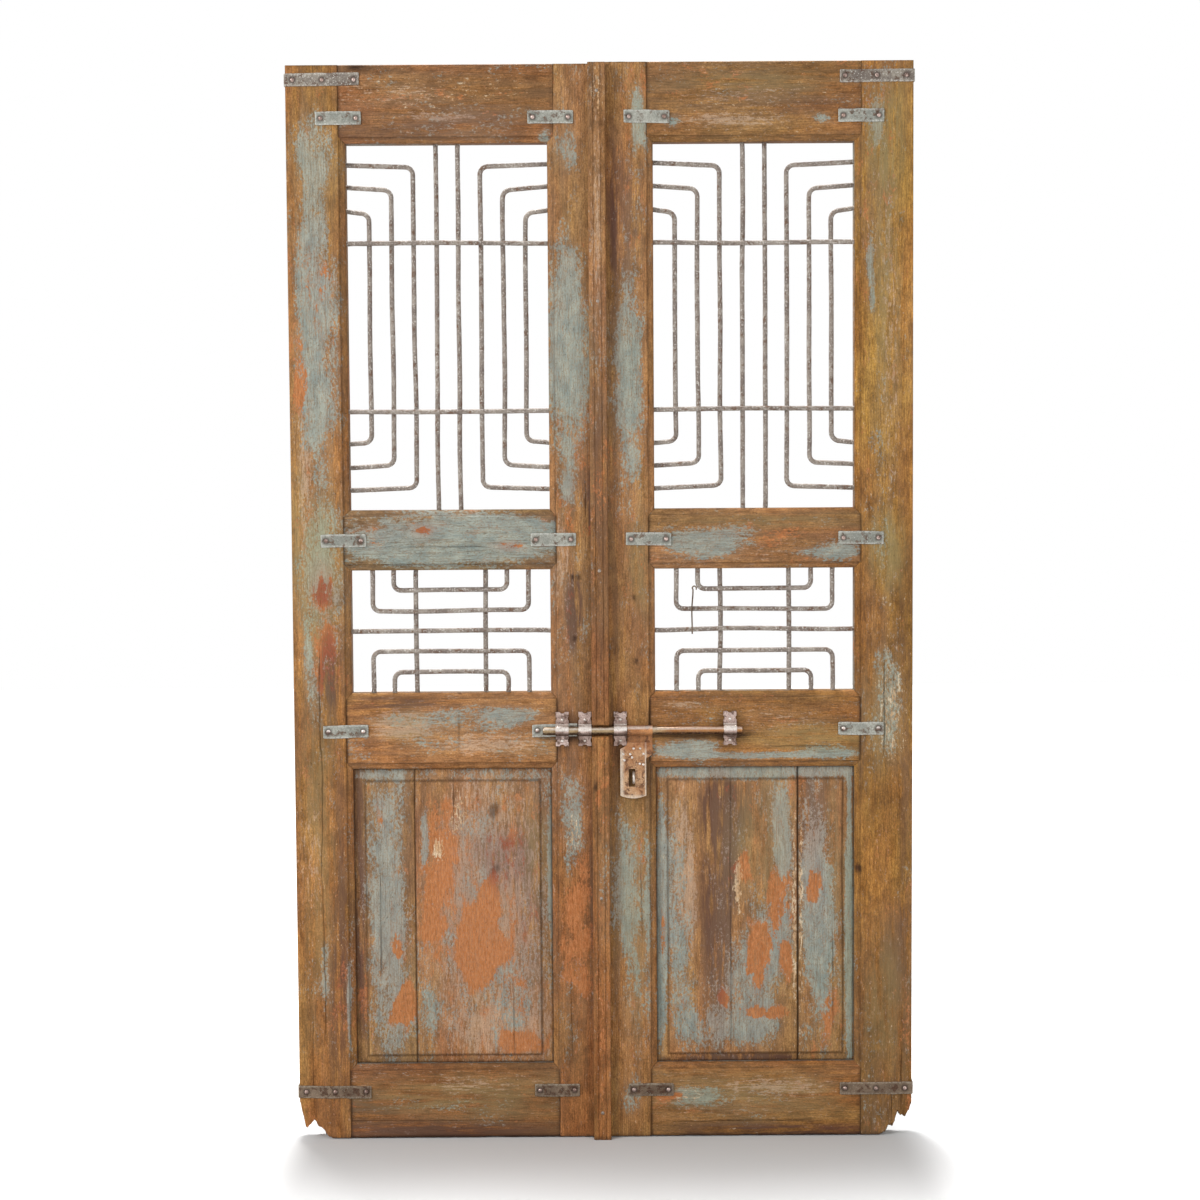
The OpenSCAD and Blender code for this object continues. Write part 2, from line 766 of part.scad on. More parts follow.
module staple(clear = 0) {
  d = staple_d + 2 * clear;
  leg_r = (staple_h - staple_d) / 2;
  z = lock_z - staple_drop;
  y_arc = out(plate_out + hasp_t + staple_rise) + staple_h / 2;
  for (s = [-1, 1]) rod_y(staple_x, y_arc, face_y + rod_seat, z + s * leg_r, d);
  translate([staple_x, y_arc, z]) rotate([90, 0, -90]) rotate([0, 0, 90 + 180])
    rotate_extrude(angle = 180, $fn = 96) translate([leg_r, 0]) circle(d = d, $fn = 48);
}

// ---------------------------------------------------------------- nodes

outer_stile(LEFT);  // left_outer_stile
meeting_stile(LEFT);  // left_meeting_stile
rail(LEFT, TOP);  // left_top_rail
rail(LEFT, MIDDLE);  // left_middle_rail
rail(LEFT, LOCK);  // left_lock_rail
rail(LEFT, BOTTOM);  // left_bottom_rail
wide_board(LEFT);  // left_panel_wide_board
narrow_board(LEFT);  // left_panel_narrow_board
outer_stile(RIGHT);  // right_outer_stile
meeting_stile(RIGHT);  // right_meeting_stile
rail(RIGHT, TOP);  // right_top_rail
rail(RIGHT, MIDDLE);  // right_middle_rail
rail(RIGHT, LOCK);  // right_lock_rail
rail(RIGHT, BOTTOM);  // right_bottom_rail
wide_board(RIGHT);  // right_panel_wide_board
narrow_board(RIGHT);  // right_panel_narrow_board
cover_strip();

color(iron) on_side(LEFT) upper_cross_rods();  // left_upper_cross_rods
color(iron) on_side(LEFT) upper_bent_rods();  // left_upper_bent_rods
color(iron) on_side(LEFT) upper_straight_rods();  // left_upper_straight_rods
color(iron) on_side(LEFT) lower_uprights();  // left_lower_uprights
color(iron) on_side(LEFT) lower_cross_rod();  // left_lower_cross_rod
color(iron) on_side(LEFT) lower_bent_rods();  // left_lower_bent_rods
color(iron) on_side(RIGHT) upper_cross_rods();  // right_upper_cross_rods
color(iron) on_side(RIGHT) upper_bent_rods();  // right_upper_bent_rods
color(iron) on_side(RIGHT) upper_straight_rods();  // right_upper_straight_rods
color(iron) on_side(RIGHT) lower_uprights();  // right_lower_uprights
color(iron) on_side(RIGHT) lower_cross_rod();  // right_lower_cross_rod
color(iron) on_side(RIGHT) lower_bent_rods();  // right_lower_bent_rods
wire_remnant();

corner_strap(LEFT, top_strap_z(LEFT));  // left_top_corner_strap
corner_strap(LEFT, bottom_strap_z);  // left_bottom_corner_strap
short_strap(LEFT, shoulder_out, upper_strap_z);  // left_top_outer_strap
short_strap(LEFT, shoulder_out, middle_z);  // left_middle_outer_strap
short_strap(LEFT, shoulder_out, lock_z);  // left_lock_outer_strap
short_strap(LEFT, shoulder_in(LEFT), upper_strap_z);  // left_top_inner_strap
short_strap(LEFT, shoulder_in(LEFT), middle_z);  // left_middle_inner_strap
short_strap(LEFT, shoulder_in(LEFT), lock_z);  // left_lock_inner_strap
short_strap(LEFT, shoulder_in(LEFT), bottom_strap_z);  // left_bottom_inner_strap
corner_strap(RIGHT, top_strap_z(RIGHT));  // right_top_corner_strap
corner_strap(RIGHT, bottom_strap_z);  // right_bottom_corner_strap
short_strap(RIGHT, shoulder_out, upper_strap_z);  // right_top_outer_strap
short_strap(RIGHT, shoulder_out, middle_z);  // right_middle_outer_strap
short_strap(RIGHT, shoulder_out, lock_z);  // right_lock_outer_strap
short_strap(RIGHT, shoulder_in(RIGHT), upper_strap_z);  // right_top_inner_strap
short_strap(RIGHT, shoulder_in(RIGHT), middle_z);  // right_middle_inner_strap
short_strap(RIGHT, shoulder_in(RIGHT), bottom_strap_z);  // right_bottom_inner_strap

color(iron) strap_nail_set(LEFT);  // left_strap_nails
color(iron) strap_nail_set(RIGHT);  // right_strap_nails
color(iron) cover_nail_set();  // cover_nails
color(iron) keeper_nail_set();  // keeper_nails

bolt_rod();
keeper(end_keeper_x, strap_t);  // end_keeper
keeper(left_keeper_x, 0);  // left_keeper
keeper(middle_keeper_x, 0);  // middle_keeper
keeper(tail_keeper_x, 0);  // tail_keeper
hasp_strap();
hasp_plate();
color(bare_iron) hasp_rivet_set();  // hasp_rivets
color(bare_iron) staple();  // padlock_staple
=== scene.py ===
import math

import bpy
import numpy as np
from mathutils import Matrix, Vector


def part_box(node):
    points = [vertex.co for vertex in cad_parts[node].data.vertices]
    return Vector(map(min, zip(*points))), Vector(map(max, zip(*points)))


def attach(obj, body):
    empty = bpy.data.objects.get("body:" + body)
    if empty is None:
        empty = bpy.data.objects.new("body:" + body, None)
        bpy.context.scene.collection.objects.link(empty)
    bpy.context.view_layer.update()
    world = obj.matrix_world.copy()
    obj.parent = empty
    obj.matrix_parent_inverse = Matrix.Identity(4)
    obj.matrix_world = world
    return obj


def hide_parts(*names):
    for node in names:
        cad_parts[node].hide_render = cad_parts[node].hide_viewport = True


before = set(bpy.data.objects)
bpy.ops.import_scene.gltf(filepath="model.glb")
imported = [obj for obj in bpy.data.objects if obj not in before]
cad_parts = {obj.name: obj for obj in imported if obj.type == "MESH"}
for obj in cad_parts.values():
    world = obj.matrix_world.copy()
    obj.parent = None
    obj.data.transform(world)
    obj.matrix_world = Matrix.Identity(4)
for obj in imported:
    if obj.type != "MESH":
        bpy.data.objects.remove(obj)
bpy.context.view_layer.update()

# Lengths in this script are in millimetres until a mesh is made.
# Every wood member is worked out in its own frame: u along the grain, v across it,
# and w out of the front face, which is w = 0. The back is at w = -THICK.
MM = 0.001
THICK, FACE_Y = 40.0, -20.0
# Width and depth of the moulding, the step at its top, and the bed that a shoulder lies on
MOULD_W, MOULD_D, QUIRK, BED = 12.0, 8.0, 1.2, 11.4
# Width of a plain edge's rounding, and how far in its outermost front points lie
ARRIS = 1.6
EDGE = 0.3 * ARRIS
# How far the front of the foot is worn up, and the height below which a stile's rows are
# squeezed to fit its lost corner
FOOT_LIFT, SQUEEZE = 2.0, 160.0
# Points down each side of a member's ring, and the dirt at those of a moulded side, with painted
# shade in its quirk
SIDE_POINTS = 8
QUIRK_DIRT_AND_SHADE = np.array([[0.4, 0.12, 0.0, 0.05, 0.3, 0.35, 0.35, 0.3]])
LEFT, RIGHT = -1, 1
SIDES = {"left": LEFT, "right": RIGHT}
RAILS = ("bottom", "lock", "middle", "top")


def box_mm(node):
    lo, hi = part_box(node)
    return np.array(lo) / MM, np.array(hi) / MM


def add_object(name, data):
    made = bpy.data.objects.new(name, data)
    bpy.context.scene.collection.objects.link(made)
    return made


def mesh_points(piece):
    """An object's points as rows in millimetres."""
    flat = np.empty(3 * len(piece.data.vertices))
    piece.data.vertices.foreach_get("co", flat)
    return flat.reshape(-1, 3) / MM


# ------------------------------------------------------------------ noise and meshes

def cloud(a, b, size_a, size_b, seed):
    """Smooth random field from -1 to 1: random values on a lattice of cells size_a by
    size_b, blended between lattice points with the cubic 3t^2 - 2t^3."""
    table = np.random.default_rng(seed).uniform(-1, 1, (64, 64))
    a, b = np.broadcast_arrays(np.asarray(a, float) / size_a, np.asarray(b, float) / size_b)
    i, j = np.floor(a).astype(int), np.floor(b).astype(int)
    fa, fb = a - i, b - j
    fa, fb = fa * fa * (3 - 2 * fa), fb * fb * (3 - 2 * fb)
    low = table[i % 64, j % 64] * (1 - fa) + table[(i + 1) % 64, j % 64] * fa
    high = table[i % 64, (j + 1) % 64] * (1 - fa) + table[(i + 1) % 64, (j + 1) % 64] * fa
    return low * (1 - fb) + high * fb


def rough_cloud(a, b, size_a, size_b, seed):
    """Three clouds added, each half the size and half the height of the last."""
    return sum(cloud(a, b, size_a / 2 ** k, size_b / 2 ** k, seed + k) / 2 ** k
               for k in range(3)) / 1.75


def smooth(value, lo, hi):
    """0 below lo, 1 above hi, and the cubic 3t^2 - 2t^3 between."""
    t = np.clip((value - lo) / (hi - lo), 0, 1)
    return t * t * (3 - 2 * t)


def add_mesh(name, points, faces, flip=False, soft=True):
    """A mesh object at the origin from points in millimetres and quads as index rows. A
    quad whose last two corners coincide is a triangle."""
    rows = np.vstack(faces)
    if flip:
        rows = rows[:, ::-1]
    mesh = bpy.data.meshes.new(name)
    mesh.from_pydata((points * MM).tolist(), [],
                     [row[:3] if row[2] == row[3] else row for row in rows.tolist()])
    mesh.polygons.foreach_set("use_smooth", np.full(len(rows), soft))
    mesh.update()
    return add_object(name, mesh)


def grid_faces(index, wrap_cols=False):
    """Quads between neighbours of a two-way index table, closed round where asked."""
    if wrap_cols:
        index = np.hstack([index, index[:, :1]])
    quads = np.stack([index[:-1, :-1], index[:-1, 1:], index[1:, 1:], index[1:, :-1]], -1)
    return quads.reshape(-1, 4)


def shell(table, tips):
    """A closed shell as points and quads: a ring of points for each row of the table, with
    each end closed by lines from its ring to its tip."""
    rows, ring = table.shape[:2]
    index = np.arange(rows * ring).reshape(rows, ring)
    faces = [grid_faces(index, wrap_cols=True)]
    for row, tip in ((index[0][::-1], rows * ring), (index[-1], rows * ring + 1)):
        faces.append(np.stack([row, np.roll(row, -1), np.full(ring, tip), np.full(ring, tip)], 1))
    return np.vstack([table.reshape(-1, 3), tips]), np.vstack(faces)


def paint_attribute(piece, name, values):
    """Stores rows of three or four numbers per point as a vector or a float colour."""
    kind, field = {3: ("FLOAT_VECTOR", "vector"), 4: ("FLOAT_COLOR", "color")}[values.shape[1]]
    layer = piece.data.attributes.new(name, kind, "POINT")
    layer.data.foreach_set(field, values.ravel())


def linear(*rgb):
    """A display colour from 0 to 255 as linear light."""
    c = np.asarray(rgb, float) / 255
    return np.where(c <= 0.04045, c / 12.92, ((c + 0.055) / 1.055) ** 2.4)


# ------------------------------------------------------------------ members

def cap(points, ring, n, k, jitter):
    """Closes one end of a member. ring is a row of 2n + 2k indices: n front points, k down
    the right side, n back points and k up the left side. The end is a Coons patch: the
    blend of front and back, plus the blend of the two sides, less the bilinear blend of
    the four corners. Returns the new points and the end's quads."""
    front, right = ring[:n], ring[n:n + k]
    back, left = ring[n + k:2 * n + k][::-1], ring[2 * n + k:][::-1]
    index = np.full((k + 2, n), -1)
    index[0], index[-1] = front, back
    index[1:-1, 0], index[1:-1, -1] = left, right
    s = np.linspace(0, 1, n)[None, :, None]
    t = np.linspace(0, 1, k + 2)[:, None, None]
    top, bottom = points[index[0]][None], points[index[-1]][None]
    west, east = points[index[:, 0]][:, None], points[index[:, -1]][:, None]
    corner = ((1 - s) * (1 - t) * top[:, :1] + s * (1 - t) * top[:, -1:]
              + (1 - s) * t * bottom[:, :1] + s * t * bottom[:, -1:])
    patch = (1 - t) * top + t * bottom + (1 - s) * west + s * east - corner
    inner = patch[1:-1, 1:-1].reshape(-1, 3)
    inner = inner + jitter(inner)
    index[1:-1, 1:-1] = len(points) + np.arange(len(inner)).reshape(k, n - 2)
    return inner, grid_faces(index)


def crack_columns(lines, cracks, clear):
    """Columns across a face, and for each the crack it belongs to and its place in it. A
    crack gets three columns, its two lips and its floor, and the others keep clear."""
    ends = min(lines), max(lines)
    cols = [(v, -1, 0) for v in lines]
    for i, (at, _, _, wide, _, _) in enumerate(cracks):
        cols = [c for c in cols
                if c[0] in ends or c[1] >= 0 or abs(c[0] - at) > wide + clear]
        cols += [(at - wide / 2, i, -1), (at, i, 0), (at + wide / 2, i, 1)]
    return tuple(np.array(c) for c in zip(*sorted(cols)))


def face_columns(v0, v1, step, cracks):
    """Columns about step apart from v0 to v1, and one more near each edge."""
    lines = np.linspace(v0, v1, round((v1 - v0) / step) + 1)
    return crack_columns([*lines, v0 + 1.3, v1 - 1.3], cracks, 0.6)


def open_cracks(u, v, w, owner, place, cracks, width):
    """Bends the columns along each crack's wandering path and sinks its floor. owner and
    place say which crack each column belongs to and its place in it, for the face's columns.
    A crack is (across, from, to, width, depth, wander). It fades over its last 60 mm, and
    the columns beside it follow its path less and less over 25 mm. Returns the dirt in it."""
    spare = (0, v.shape[1] - len(owner))
    owner = np.pad(owner, spare, constant_values=-1)[None]
    place = np.pad(place, spare)[None]
    dark = np.zeros_like(v)
    for i, (at, u0, u1, wide, deep, wander) in enumerate(cracks):
        fade = smooth(u, u0, u0 + 60) * (1 - smooth(u, u1 - 60, u1))
        path = wander * cloud(u, 0, 90, 1, 71 + i) + 0.3 * wander * cloud(u, 0, 17, 1, 81 + i)
        near = (np.exp(-((v - at) / 25) ** 2)
                * smooth(v, 0, 12) * (1 - smooth(v, width - 12, width)))
        v += path * near
        mine, floor = owner == i, place == 0
        open_by = fade * (0.45 + 0.55 * (cloud(u, 0, 37, 1, 91 + i) * 0.5 + 0.5))
        v -= np.where(mine & ~floor, place * wide / 2 * (1 - open_by) * 0.8, 0)
        w -= np.where(mine & floor, deep * open_by, 0)
        dark = np.maximum(dark, np.where(mine, np.where(floor, 1.0, 0.35), 0) * open_by)
    return dark


def darken_columns(dark, columns, amount):
    """Raises the darkness in some columns, dirt and painted shade, to at least an amount."""
    dark[:, columns] = np.maximum(dark[:, columns], amount)


def side_depths(k):
    """Depths of the points down a plain side, from the front arris to the back one."""
    return -np.concatenate([[ARRIS], np.linspace(5, THICK - 5, k - 2), [THICK - ARRIS]])


def wear(u, seed, deep=1.0):
    """How far an arris is worn off along u: a little everywhere, with bruises."""
    bruise = (smooth(cloud(u, 3, 26, 1, seed), 0.45, 0.95)
              * smooth(cloud(u, 7, 9, 1, seed + 1), -0.5, 0.6))
    return deep * (0.35 + 0.3 * cloud(u, 0, 60, 1, seed + 2) + 2.2 * bruise)


def closed_member(u, v, w, n, k, jitter=lambda inner: 0 * inner):
    """Points (u, v, w) and quads of a member from tables with one row per step along the
    grain and one column per ring point, with both ends closed."""
    rows, ring = v.shape
    uvw = np.stack([u + 0 * v, v, w], -1).reshape(-1, 3)
    index = np.arange(rows * ring).reshape(rows, ring)
    faces = [grid_faces(index, wrap_cols=True)]
    for end, turn in ((0, 1), (-1, -1)):
        inner, quads = cap(uvw, index[end], n, k, jitter)
        uvw = np.vstack([uvw, inner])
        faces.append(quads[:, ::turn])
    return uvw, faces


def add_wood(node, uvw, points, faces, offset, dirt_and_shade, front_from=-9, flip=False):
    """Makes a wood piece, with its grain coordinates and its weathering. Its front is what
    lies above front_from. Points that its dirt and painted shade leave out are clean."""
    piece = add_mesh(node + "_wood", points, faces, flip)
    dirt_and_shade = np.pad(dirt_and_shade.ravel(), (0, len(uvw) - dirt_and_shade.size))
    paint_attribute(piece, "grain", uvw * MM + np.asarray(offset))
    finish_wood(piece, points, uvw[:, 2] > front_from, dirt_and_shade)
    return piece


# Sizes read from the frame: the leaves' openings, rails and stiles
open_in = -box_mm("left_meeting_stile")[0][0]
open_out = -box_mm("left_outer_stile")[1][0]
leaf_in = -box_mm("left_meeting_stile")[1][0]
leaf_out = -box_mm("left_outer_stile")[0][0]
rail_spans = {side: [tuple(end[2] for end in box_mm(f"{side}_{rail}_rail")) for rail in RAILS]
              for side in SIDES}
openings = [(rail_spans["left"][i][1], rail_spans["left"][i + 1][0]) for i in range(3)]
lock_z = sum(rail_spans["left"][1]) / 2


def opening_x(side):
    """The left and right edge of a leaf's openings."""
    return (-open_out, -open_in) if side == "left" else (open_in, open_out)


def round_ends(w, n):
    """Lowers the outermost front points and raises the outermost back points."""
    w[:, [0, n - 1]] -= EDGE
    back = n + SIDE_POINTS
    w[:, [back, back + n - 1]] += EDGE


def back_columns(n):
    """The columns of a member's back face that lie between its edges."""
    return slice(n + SIDE_POINTS + 1, 2 * n + SIDE_POINTS - 1)


def undulate(u, v, w, columns, size, seed, lift):
    """Adds a rough cloud, whose size is (height, length along, length across), and a lift."""
    high, along, across = size
    u = np.broadcast_to(u, v.shape)[:, columns]
    w[:, columns] += high * rough_cloud(u, v[:, columns], along, across, seed) + lift


def foot_lift(height, w):
    """Lifts the points near the floor the more the nearer they are to the front face, so
    that the foot is worn up at its front and stands on its back."""
    return FOOT_LIFT * smooth(w, -12, 0) * (1 - smooth(height, 0, 10))


def build_stile(side, which, cracks, offset, seed):
    """An upright. v = 0 is its plain edge and v = width its moulded one. Beside an opening
    the moulding slopes back from QUIRK to MOULD_D. Over the 12 mm beyond each end of the
    opening it is cut back on a mitre, and beside a rail it is cut back to a bed for the
    rail's lapped shoulder: cut is the distance from the edge that is taken away."""
    sign, outer = SIDES[side], which == "outer"
    node = f"{side}_{which}_stile"
    lo, hi = box_mm(node)
    width, height = hi[0] - lo[0], hi[2]
    mitres = [z + way * d for ends in openings for z, way in zip(ends, (-1, 1))
              for d in (0, MOULD_W / 3, MOULD_W * 2 / 3, MOULD_W)]
    steps = np.arange(0, height + 1, 5.0)
    steps = steps[np.min(np.abs(steps[:, None] - np.array(mitres)), 1) > 2.2]
    u = np.unique(np.concatenate([steps, mitres, [0, height]]))[:, None]

    front, owner, place = face_columns(EDGE, width - MOULD_W - 0.3, 3.2, cracks)
    n = len(front)
    back = front * (width - EDGE) / (width - MOULD_W)
    cut = np.full_like(u, BED)
    for z0, z1 in openings:
        cut = np.minimum(cut, np.maximum(np.maximum(z0 - u, u - z1), 0))
    d = MOULD_W - np.array([[0, 1 / 3, 2 / 3, 1]]) * (MOULD_W - cut)
    slope = QUIRK + (MOULD_D - 0.6 - QUIRK) * (1 - d / MOULD_W)
    one = np.ones_like(u)
    right_v = np.hstack([width - d, width - cut, width * one, width * one, width * one])
    right_w = -np.hstack([slope, one * [[MOULD_D, MOULD_D + 1.2, 24, THICK - ARRIS]]])
    v = np.hstack([one * front, right_v, one * back[::-1], one * np.zeros(SIDE_POINTS)])
    w = np.hstack([one * np.zeros(n), right_w, one * np.full(n, -THICK),
                   one * side_depths(SIDE_POINTS)[::-1]])
    round_ends(w, n)
    dark = open_cracks(u, v, w, owner, place, cracks, width)

    # Dirt lies along the rails' shoulders, and dirt with painted shade in the quirk of the
    # moulding
    beside_rail = smooth(cut, 8, BED)[:, 0]
    darken_columns(dark, slice(n, n + SIDE_POINTS), QUIRK_DIRT_AND_SHADE)
    darken_columns(dark, n - 1, 0.15 + 0.5 * beside_rail)
    darken_columns(dark, n - 2, 0.12 * beside_rail)
    if not outer:
        darken_columns(dark, [0, -1, -2, -3], 0.5)

    # Worn arrises and an uneven face
    w[:, :1] -= 0.8 * wear(u, seed)
    v[:, :1] += 0.8 * wear(u, seed)
    w[:, n - 1:n] -= 0.5 * wear(u, seed + 5)
    v[:, n - 1:n] -= 0.5 * wear(u, seed + 5)
    undulate(u, v, w, slice(1, n - 1), (0.22, 140, 16), seed + 9, -0.1)
    undulate(u, v, w, back_columns(n), (0.3, 150, 18), seed + 11, -0.15)
    v[:, n:n + 4] -= 0.5 * wear(u, seed + 15, 0.7) * (cut < 11)
    bow = 0.5 * cloud(u, 0, 620, 1, seed + 19)
    v += bow * (1 if outer else 0.4)

    # The lost corner: the rows near the foot are squeezed up to its ragged outline
    lost = np.zeros_like(v)
    if outer:
        lost = np.interp(v, *zip(*LOST_CORNERS[side]))
        depth = np.clip(-w / THICK, 0, 1)
        ragged = (5 * cloud(v, depth * 3, 6, 1, seed + 23)
                  + 3 * cloud(v, depth * 9, 2.6, 1, seed + 24))
        lost = np.maximum(lost + ragged * smooth(lost, 1, 12), 0)
    rows_u = np.where(u < SQUEEZE, lost + u / SQUEEZE * (SQUEEZE - lost), u + 0 * v)
    rows_u += foot_lift(rows_u, w)

    def splinter(inner):
        a, b, c = inner.T
        broken = 5.0 * smooth(a, 1, 12) if outer else 0.6
        rag = np.where(a > height / 2, 0.4 * cloud(b, c, 5, 5, seed),
                       broken * cloud(b, c, 3.5, 4, seed + 31))
        return np.stack([np.maximum(rag, -a), 0 * rag, 0 * rag], 1)

    uvw, faces = closed_member(rows_u, v, w, n, SIDE_POINTS, splinter)
    x = sign * ((leaf_out - uvw[:, 1]) if outer else (leaf_in + uvw[:, 1]))
    points = np.stack([x, FACE_Y - uvw[:, 2], uvw[:, 0]], 1)
    return add_wood(node, uvw, points, faces, offset, dark, flip=outer == (side == "left"))


# Height of the lost corner at the foot of each outer stile, by distance from its outer edge
LOST_CORNERS = {
    "left": [(0, 76), (3, 64), (7, 47), (13, 25), (18, 33), (26, 35), (36, 29), (46, 19),
             (56, 7), (64, 0), (200, 0)],
    "right": [(0, 66), (3, 57), (12, 44), (20, 39), (24, 46), (28, 50), (34, 34), (46, 16),
              (60, 4), (66, 0), (200, 0)],
}


def build_rail(side, which, cracks, offset, seed):
    """A rail. v = 0 is its lower edge. Its ends stop short of the stiles' edges by gap, but
    its front laps over them: a front or moulding point at distance d from a moulded edge
    goes min(d, MOULD_W) further, which makes the mitres and the straight shoulder."""
    node = f"{side}_{which}_rail"
    z0, z1 = rail_spans[side][RAILS.index(which)]
    height = z1 - z0
    low_moulded, high_moulded = which != "bottom", which != "top"
    t = np.linspace(0, 1, 104)[:, None]
    one = np.ones_like(t)
    front, owner, place = face_columns(
        MOULD_W + 0.3 if low_moulded else EDGE,
        height - (MOULD_W + 0.3 if high_moulded else EDGE), 3.0, cracks)
    n = len(front)
    back = np.linspace(EDGE, height - EDGE, n)
    plain = side_depths(SIDE_POINTS)
    d = MOULD_W / 3 * np.array([3, 2, 1, 0, 0, 0, 0, 0])
    down = -np.array([QUIRK, 3.3, 5.4, MOULD_D - 0.6, MOULD_D, MOULD_D + 1.2, 24, THICK - ARRIS])
    v = one * np.concatenate([front, height - d * high_moulded, back[::-1],
                              (d * low_moulded)[::-1]])
    w = one * np.concatenate([np.zeros(n), down if high_moulded else plain, np.full(n, -THICK),
                              (down if low_moulded else plain)[::-1]])
    round_ends(w, n)
    far = np.full_like(v, 99)
    to_edge = np.minimum(v if low_moulded else far, height - v if high_moulded else far)
    lap = np.where(w > -MOULD_D + 0.3, np.clip(to_edge, 0, MOULD_W), 0)
    gap = SHOULDER_GAP[which] * (1 + 0.4 * cloud(v, seed, 23, 1, seed))
    # The u axis runs from the left end to the right one on either leaf
    x_left, x_right = opening_x(side)
    u = (x_left - lap + gap) * (1 - t) + (x_right + lap - gap) * t

    dark = open_cracks(u, v, w, owner, place, cracks, height)
    # Dirt and painted shade in the quirks of the mouldings
    for moulded, first, turn in ((high_moulded, n, 1), (low_moulded, 2 * n + SIDE_POINTS, -1)):
        if moulded:
            darken_columns(dark, slice(first, first + SIDE_POINTS), QUIRK_DIRT_AND_SHADE[:, ::turn])
    from_end = t * (1 - t)
    darken_columns(dark, slice(n), np.select([from_end < 0.001, from_end < 0.012],
                                           [SHOULDER_GAP[which], 0.2], 0.0))
    low_wear, high_wear = wear(u[:, :1], seed + 3), wear(u[:, n - 1:n], seed + 5)
    w[:, :1] -= 0.5 * low_wear
    w[:, n - 1:n] -= 0.5 * high_wear
    v[:, :1] += low_wear * (not low_moulded)
    v[:, n - 1:n] -= high_wear * (not high_moulded)
    undulate(u, v, w, slice(1, n - 1), (0.25, 120, 14), seed + 9, RAIL_STEP.get((side, which), 0))
    undulate(u, v, w, back_columns(n), (0.3, 130, 16), seed + 11, -0.2)
    if which == "bottom":
        hollow = 2.2 * smooth(rough_cloud(u, w, 46, 30, seed + 13), 0.1, 0.9)
        v += hollow * (1 - smooth(v, 0, 20)) + foot_lift(v, w)

    uvw, faces = closed_member(u, v, w, n, SIDE_POINTS)
    points = np.stack([uvw[:, 0], FACE_Y - uvw[:, 2], z0 + uvw[:, 1]], 1)
    return add_wood(node, uvw, points, faces, offset, dark)


# Open width of the joint at each rail's shoulders
SHOULDER_GAP = {"bottom": 0.6, "lock": 0.9, "middle": 0.6, "top": 0.3}

# How far a rail's front has sunk behind its stiles, or stands proud of them
RAIL_STEP = {("left", "bottom"): -0.5, ("right", "lock"): -0.3, ("left", "middle"): 0.15,
             ("right", "bottom"): -0.4}


def lines_between(lo, hi, step, keep):
    """Grid lines about step apart from lo to hi that also run through every kept value."""
    keep = np.unique(np.array([k for k in list(keep) + [lo, hi] if lo <= k <= hi]))
    parts = [np.linspace(a, b, max(2, int(math.ceil((b - a) / step)) + 1))[:-1]
             for a, b in zip(keep[:-1], keep[1:])]
    return np.concatenate(parts + [[hi]])


PANEL_EDGE, FIELD_W, FIELD_STEP = 4.0, 6.0, 2.0
FIELD_SIDE, FIELD_TOP, FIELD_BOTTOM, FIELD_SLOPE = 23.0, 25.0, 16.0, 15.7


